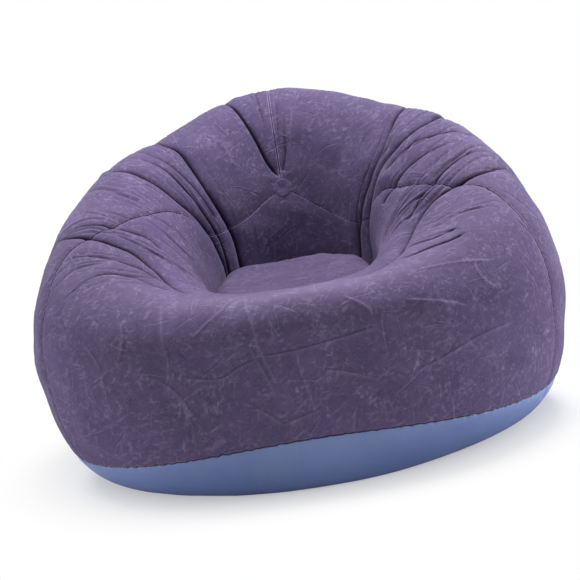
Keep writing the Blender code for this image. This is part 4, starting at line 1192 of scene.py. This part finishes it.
def marks(f, bend, out, cells, thin, reach, part):
    """One nearly straight mark to a cell: its pale line, and the dark one beside it, which is partly painted
    shade below the raised line and partly fibre laid over.
    """
    at = f.vector("MULTIPLY_ADD", bend, (MARK_BEND, MARK_BEND, MARK_BEND), f.place)
    at = f.vector("ADD", at, (cells, 0.37 * cells, -cells))
    cell = f.add("ShaderNodeTexVoronoi", {}, Vector=at, Scale=cells, out="Distance")
    own_way = f.vector("SUBTRACT", cell.also("Color"), (0.5, 0.5, 0.5))
    across = f.vector("NORMALIZE", f.vector("CROSS_PRODUCT", own_way, out))
    off = f.vector("DOT_PRODUCT", f.vector("SUBTRACT", at, cell.also("Position")), across, out="Value")
    inside = f.step(cell, reach, reach * 0.4) * f.step(f.noise(cells * 0.45, 2), part, part + 0.12)
    return f.step(abs(off), thin, 0.0) * inside, f.step(abs(off - thin * 1.5), thin * 1.4, 0.0) * inside


def streaks(f, spin, patches):
    """Streaks of stroked fibre, all one way, inside their own patches."""
    fibres = f.noise(125.0, 2, 0.6, 0.2, f.turned(spin, (1, 1, 8)))
    return f.step(fibres, 0.52, 0.68) * f.step(f.noise(patches, 3, 0.6, 0.8), 0.49, 0.60)


print("the flock is marked by", len(MARKS), "sizes of crease and", len(STREAK_TURNS), "ways of stroking")


# %% Flock finish
def flock(name, lit=1.0, welded=True):
    """The flock. The tuft patch is a little lighter, has no welds, and its points carry nothing."""
    f = Finish(name, Sheen_Weight=0.16, Sheen_Roughness=0.42, Sheen_Tint=(0.80, 0.66, 1.0, 1),
               Specular_IOR_Level=0.10)
    clouds, mottle = f.noise(6, 5, 0.62, 0.5), f.noise(40, 6, 0.76, 0.9)
    grain = f.noise(330, 3, 0.8)
    bend = f.noise(14.0, out="Color")
    out = f.carried("way", "Vector") if welded else (0, -1, 0)
    made = [(*marks(f, bend, out, *size), share) for *size, share in MARKS]
    pale_marks = sum(pale * share for pale, _, share in made)
    dark_marks = sum(dark * share for _, dark, share in made)
    stroked = sum(streaks(f, spin, 15 + 3.7 * k) for k, spin in enumerate(STREAK_TURNS))
    wear_and_highlight = f.carried("wear_and_highlight") if welded else 0.0
    light, pale = toned(FLOCK_LIGHT, lit), toned(FLOCK_PALE, lit)
    colour = f.mix(f.step(clouds, 0.3, 0.72), toned(FLOCK_BASE, 0.84 * lit), toned(FLOCK_BASE, 1.14 * lit))
    colour = f.mix(f.step(mottle, 0.38, 0.70) * 0.30, colour, light)
    # The dark side of the marks, partly painted shade.
    colour = f.mix(dark_marks * 0.42, colour, toned(FLOCK_DEEP, lit))
    # Pale marks, stroked fibre, and worn flock with the painted highlight along the rim and round the tuft.
    colour = f.mix(pale_marks * 0.31 + stroked * 0.25 + wear_and_highlight * 0.16, colour, pale)
    colour = f.mix((grain - 0.5) * 1.5 + 0.10, colour, light)
    height = pale_marks * 0.7 - dark_marks * 0.6 + grain * 0.4 + stroked * 0.3
    if welded:
        # Painted shade from the points: folds and their shadows, wrinkle valleys, packing creases, the low
        # back and the seat.
        colour = f.mix(f.step(f.carried("dark"), 0.10, 0.85) * 0.93, colour, toned(FOLD_BOTTOM))
        weld, well = f.carried("weld") + (f.noise(260, 2) - 0.5) * 0.0012, f.carried("well")
        line = f.step(weld, 0.0018, 0.0007) * (1 - well * 0.2)
        # Painted highlight: a pale line beside every weld, stronger inside the back and on the right front
        # corner.
        weld_highlight_line = f.step(abs(weld - 0.0016), 0.0013, 0.0003) * f.step(f.noise(21, 2), 0.33, 0.52)
        colour = f.mix(weld_highlight_line * (0.3 + well * 0.6), colour, pale)
        colour = f.mix(line * 0.95, colour, toned(WELD_BOTTOM))
    return f.gives(colour, 0.97 - grain * 0.1, height, 0.0010, 0.65)


flock_finish = flock("flock")
for label in ("front_gore", "left_rear_gore", "right_rear_gore", "seat_gore"):
    bpy.data.objects[label].data.materials.append(flock_finish)
patch.data.materials.append(flock("flock_patch", 1.25, welded=False))
print("the flock takes", len(flock_finish.node_tree.nodes), "nodes")

# %% [markdown]
# ## Smooth vinyl, clear vinyl
# The base is bare film: an even satin blue with a faint cloudiness, fine dust, long smears, and a dark
# line at the weld. The valve is moulded from clear soft vinyl, which reads as a milky grey.

# %% Vinyl finishes
VINYL_BLUE, VINYL_LIGHT, VINYL_DUST = (0.146, 0.207, 0.436), (0.174, 0.242, 0.490), (0.22, 0.28, 0.46)
VINYL_WELD = (0.014, 0.014, 0.028)
MILKY, MILKY_LIGHT = (0.50, 0.50, 0.56), (0.62, 0.62, 0.68)
INNER_BLUE, INNER_LIGHT = (0.095, 0.14, 0.285), (0.135, 0.185, 0.34)


def base_vinyl():
    f = Finish("base_vinyl", Specular_IOR_Level=0.42, Coat_Weight=0.08, Coat_Roughness=0.25)
    clouds, dust, grain = f.noise(4, 4, 0.6, 0.3), f.step(f.noise(90, 6, 0.75), 0.60, 0.74), f.noise(420, 2)
    smears = f.step(f.noise(26, 4, 0.6, 0.5, f.turned((0, 0, 0.3), (1, 1, 4.5))), 0.45, 0.75)
    colour = f.mix(f.step(clouds, 0.3, 0.7), toned(VINYL_BLUE), toned(VINYL_LIGHT))
    colour = f.mix(smears * 0.22 + dust * 0.12, colour, toned(VINYL_DUST))
    weld = f.carried("weld") + (f.noise(240, 2) - 0.5) * 0.0014
    colour = f.mix(f.step(weld, 0.0016, 0.0005) * 0.9, colour, toned(VINYL_WELD))
    return f.gives(colour, 0.36 + clouds * 0.14 + dust * 0.15, grain * 0.25 + smears * 0.6, 0.0006, 0.35)


def clear_vinyl(name, shade):
    f = Finish(name, Transmission_Weight=0.25, Specular_IOR_Level=0.5, IOR=1.45)
    clouds, grain = f.noise(60, 3), f.noise(900, 2)
    colour = f.mix(clouds, toned(MILKY, shade), toned(MILKY_LIGHT, shade))
    return f.gives(colour, 0.28 + grain * 0.18, grain, 0.0001, 0.4)


def inner_vinyl():
    f = Finish("inner_vinyl", Specular_IOR_Level=0.4)
    colour = f.mix(f.noise(14, 4), toned(INNER_BLUE), toned(INNER_LIGHT))
    return f.gives(colour, 0.4 + f.noise(40) * 0.15, f.noise(300, 2), 0.0002, 0.3)


def dress(label, finish):
    """Gives a piece that keeps its solid its finish."""
    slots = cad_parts[label].data.materials
    slots.clear()
    slots.append(finish)


base_pan.data.materials.append(base_vinyl())
for label, shade in (("valve_flange", 0.92), ("valve_plug", 1.0), ("valve_cap", 1.05), ("check_flap", 0.85)):
    dress(label, clear_vinyl(label + "_vinyl", shade))
inner_finish = inner_vinyl()
for label in ("seat_ring_wall", "tuft_backing"):
    dress(label, inner_finish)
print("finishes:", ", ".join(sorted(material.name for material in bpy.data.materials)))

# %% [markdown]
# ## Floor and light
# The photograph is a plain studio shot on white. A broad light overhead, a little to the right, and a
# weaker one high on the left leave the inside of the well dark. A low strip on either side draws the
# outline, and a faint light in front lifts the blue. The floor is white to the camera far from the chair,
# and near it keeps the soft shadow.

# %% Floor and sky
FLOOR_PAINT, SKY_COLOUR, SKY_POWER = (0.86, 0.86, 0.87, 1), (0.93, 0.95, 1.0, 1), 0.125
WHITE = (1, 1, 1, 1)
# From the first distance to the second, the floor turns from lit paint to plain white, in metres from the
# middle.
PAINT_ENDS, WHITE_STARTS = 0.30, 0.72


def studio_floor():
    bm = bmesh.new()
    bmesh.ops.create_circle(bm, cap_ends=True, cap_tris=True, segments=96, radius=7)
    floor = handed_over("studio_floor", bm, {})
    f = Finish("studio_floor_paint", Roughness=0.9, Specular_IOR_Level=0.1, Base_Color=FLOOR_PAINT)
    away = f.vector("LENGTH", f.place, out="Value")
    white = f.add("ShaderNodeEmission", {}, WHITE, 1.0)
    ray = f.add("ShaderNodeLightPath", {}, out="Is Camera Ray")
    share = f.step(away, PAINT_ENDS, WHITE_STARTS) * ray
    blend = f.add("ShaderNodeMixShader", {}, share, Value(f, f.surface.outputs[0]), white)
    f.tree.links.new(blend.socket, f.tree.nodes["Material Output"].inputs["Surface"])
    floor.data.materials.append(f.material)


def studio_sky():
    """A dim sky lights the chair, and the camera, reflections and clear vinyl see it as white."""
    world = bpy.data.worlds.new("studio")
    bpy.context.scene.world = world
    world.use_nodes = True
    sky = Nodes(world.node_tree)
    dim = sky.tree.nodes["Background"]
    dim.inputs["Color"].default_value = SKY_COLOUR
    dim.inputs["Strength"].default_value = SKY_POWER
    rays = sky.add("ShaderNodeLightPath", {}, out="Is Camera Ray")
    seen = rays.maths("MAXIMUM", rays, rays.also("Is Glossy Ray"))
    seen = seen.maths("MAXIMUM", seen, rays.also("Is Transmission Ray"))
    white = sky.add("ShaderNodeBackground", {}, WHITE)
    blend = sky.add("ShaderNodeMixShader", {}, seen, Value(sky, dim.outputs[0]), white)
    sky.tree.links.new(blend.socket, sky.tree.nodes["World Output"].inputs["Surface"])


studio_floor()
studio_sky()

# %% Lights
# Each light: its place, what it looks at, its size in metres and its power in watts.
SOFTBOXES = {
    "overhead": ((0.75, 0.25, 2.6), (0, 0.05, 0.3), 1.1, 69),
    "high_left": ((-1.2, -0.05, 2.5), (0, -0.1, 0.3), 1.0, 30),
    "right_strip": ((2.8, -0.6, 0.6), (0.3, 0, 0.3), 1.2, 41),
    "left_strip": ((-2.8, -0.4, 0.30), (-0.3, 0, 0.1), 1.2, 30),
    "front_fill": ((-0.2, -3.2, 0.25), (0, 0, 0.2), 1.3, 8),
}
for label, (spot, aim, size, power) in SOFTBOXES.items():
    lamp = bpy.data.lights.new(label, "AREA")
    lamp.shape, lamp.size, lamp.energy = "DISK", size, power
    softbox = bpy.data.objects.new(label, lamp)
    bpy.context.scene.collection.objects.link(softbox)
    softbox.location = spot
    softbox.rotation_mode = "QUATERNION"
    softbox.rotation_quaternion = (Vector(aim) - Vector(spot)).to_track_quat("-Z", "Y")
    print(label, power, "W")

# %% [markdown]
# ## Camera
# The photograph was taken nearly level from the front, with the camera rolled by almost ten degrees. Its
# camera was found from the chair's outline, welds and rim, so the numbers are a fit and aren't round.

# %% Camera
# The way to the camera from what it looks at, in degrees, and its roll; then the point and the distance,
# in metres.
AZIMUTH, ELEVATION, ROLL = 1.829, 9.3353, 9.6631
LOOKED_AT, CAMERA_DISTANCE = (0, 0.002, 0.33), 3.2354
# The side of the photograph, the focal length and the shift of its middle, in pixels, and a film's width
# in millimetres.
PHOTO_SIDE, FOCAL, SHIFT_X, SHIFT_Y, FILM = 580, 1512.82, -3.792, -18.606, 36


def photo_camera():
    """The camera that took the photograph."""
    azimuth, roll, elevation = (math.radians(degrees) for degrees in (AZIMUTH, ROLL, ELEVATION))
    flat = math.cos(elevation)
    back = Vector((math.sin(azimuth) * flat, -math.cos(azimuth) * flat, math.sin(elevation)))
    level = Vector((math.cos(azimuth), math.sin(azimuth), 0))
    plumb = back.cross(level)
    right = level * math.cos(roll) - plumb * math.sin(roll)
    up = level * math.sin(roll) + plumb * math.cos(roll)
    lens = bpy.data.cameras.new("photo_camera")
    lens.lens, lens.sensor_width = FOCAL / PHOTO_SIDE * FILM, FILM
    lens.shift_x, lens.shift_y = SHIFT_X / PHOTO_SIDE, SHIFT_Y / PHOTO_SIDE
    camera = bpy.data.objects.new("photo_camera", lens)
    camera.matrix_world = Matrix((right, up, back)).transposed().to_4x4()
    camera.location = Vector(LOOKED_AT) + back * CAMERA_DISTANCE
    bpy.context.scene.collection.objects.link(camera)
    return camera


bpy.context.scene.camera = photo_camera()
bpy.context.scene.view_settings.view_transform = "Standard"
print("the lens is", round(bpy.context.scene.camera.data.lens, 1), "mm")
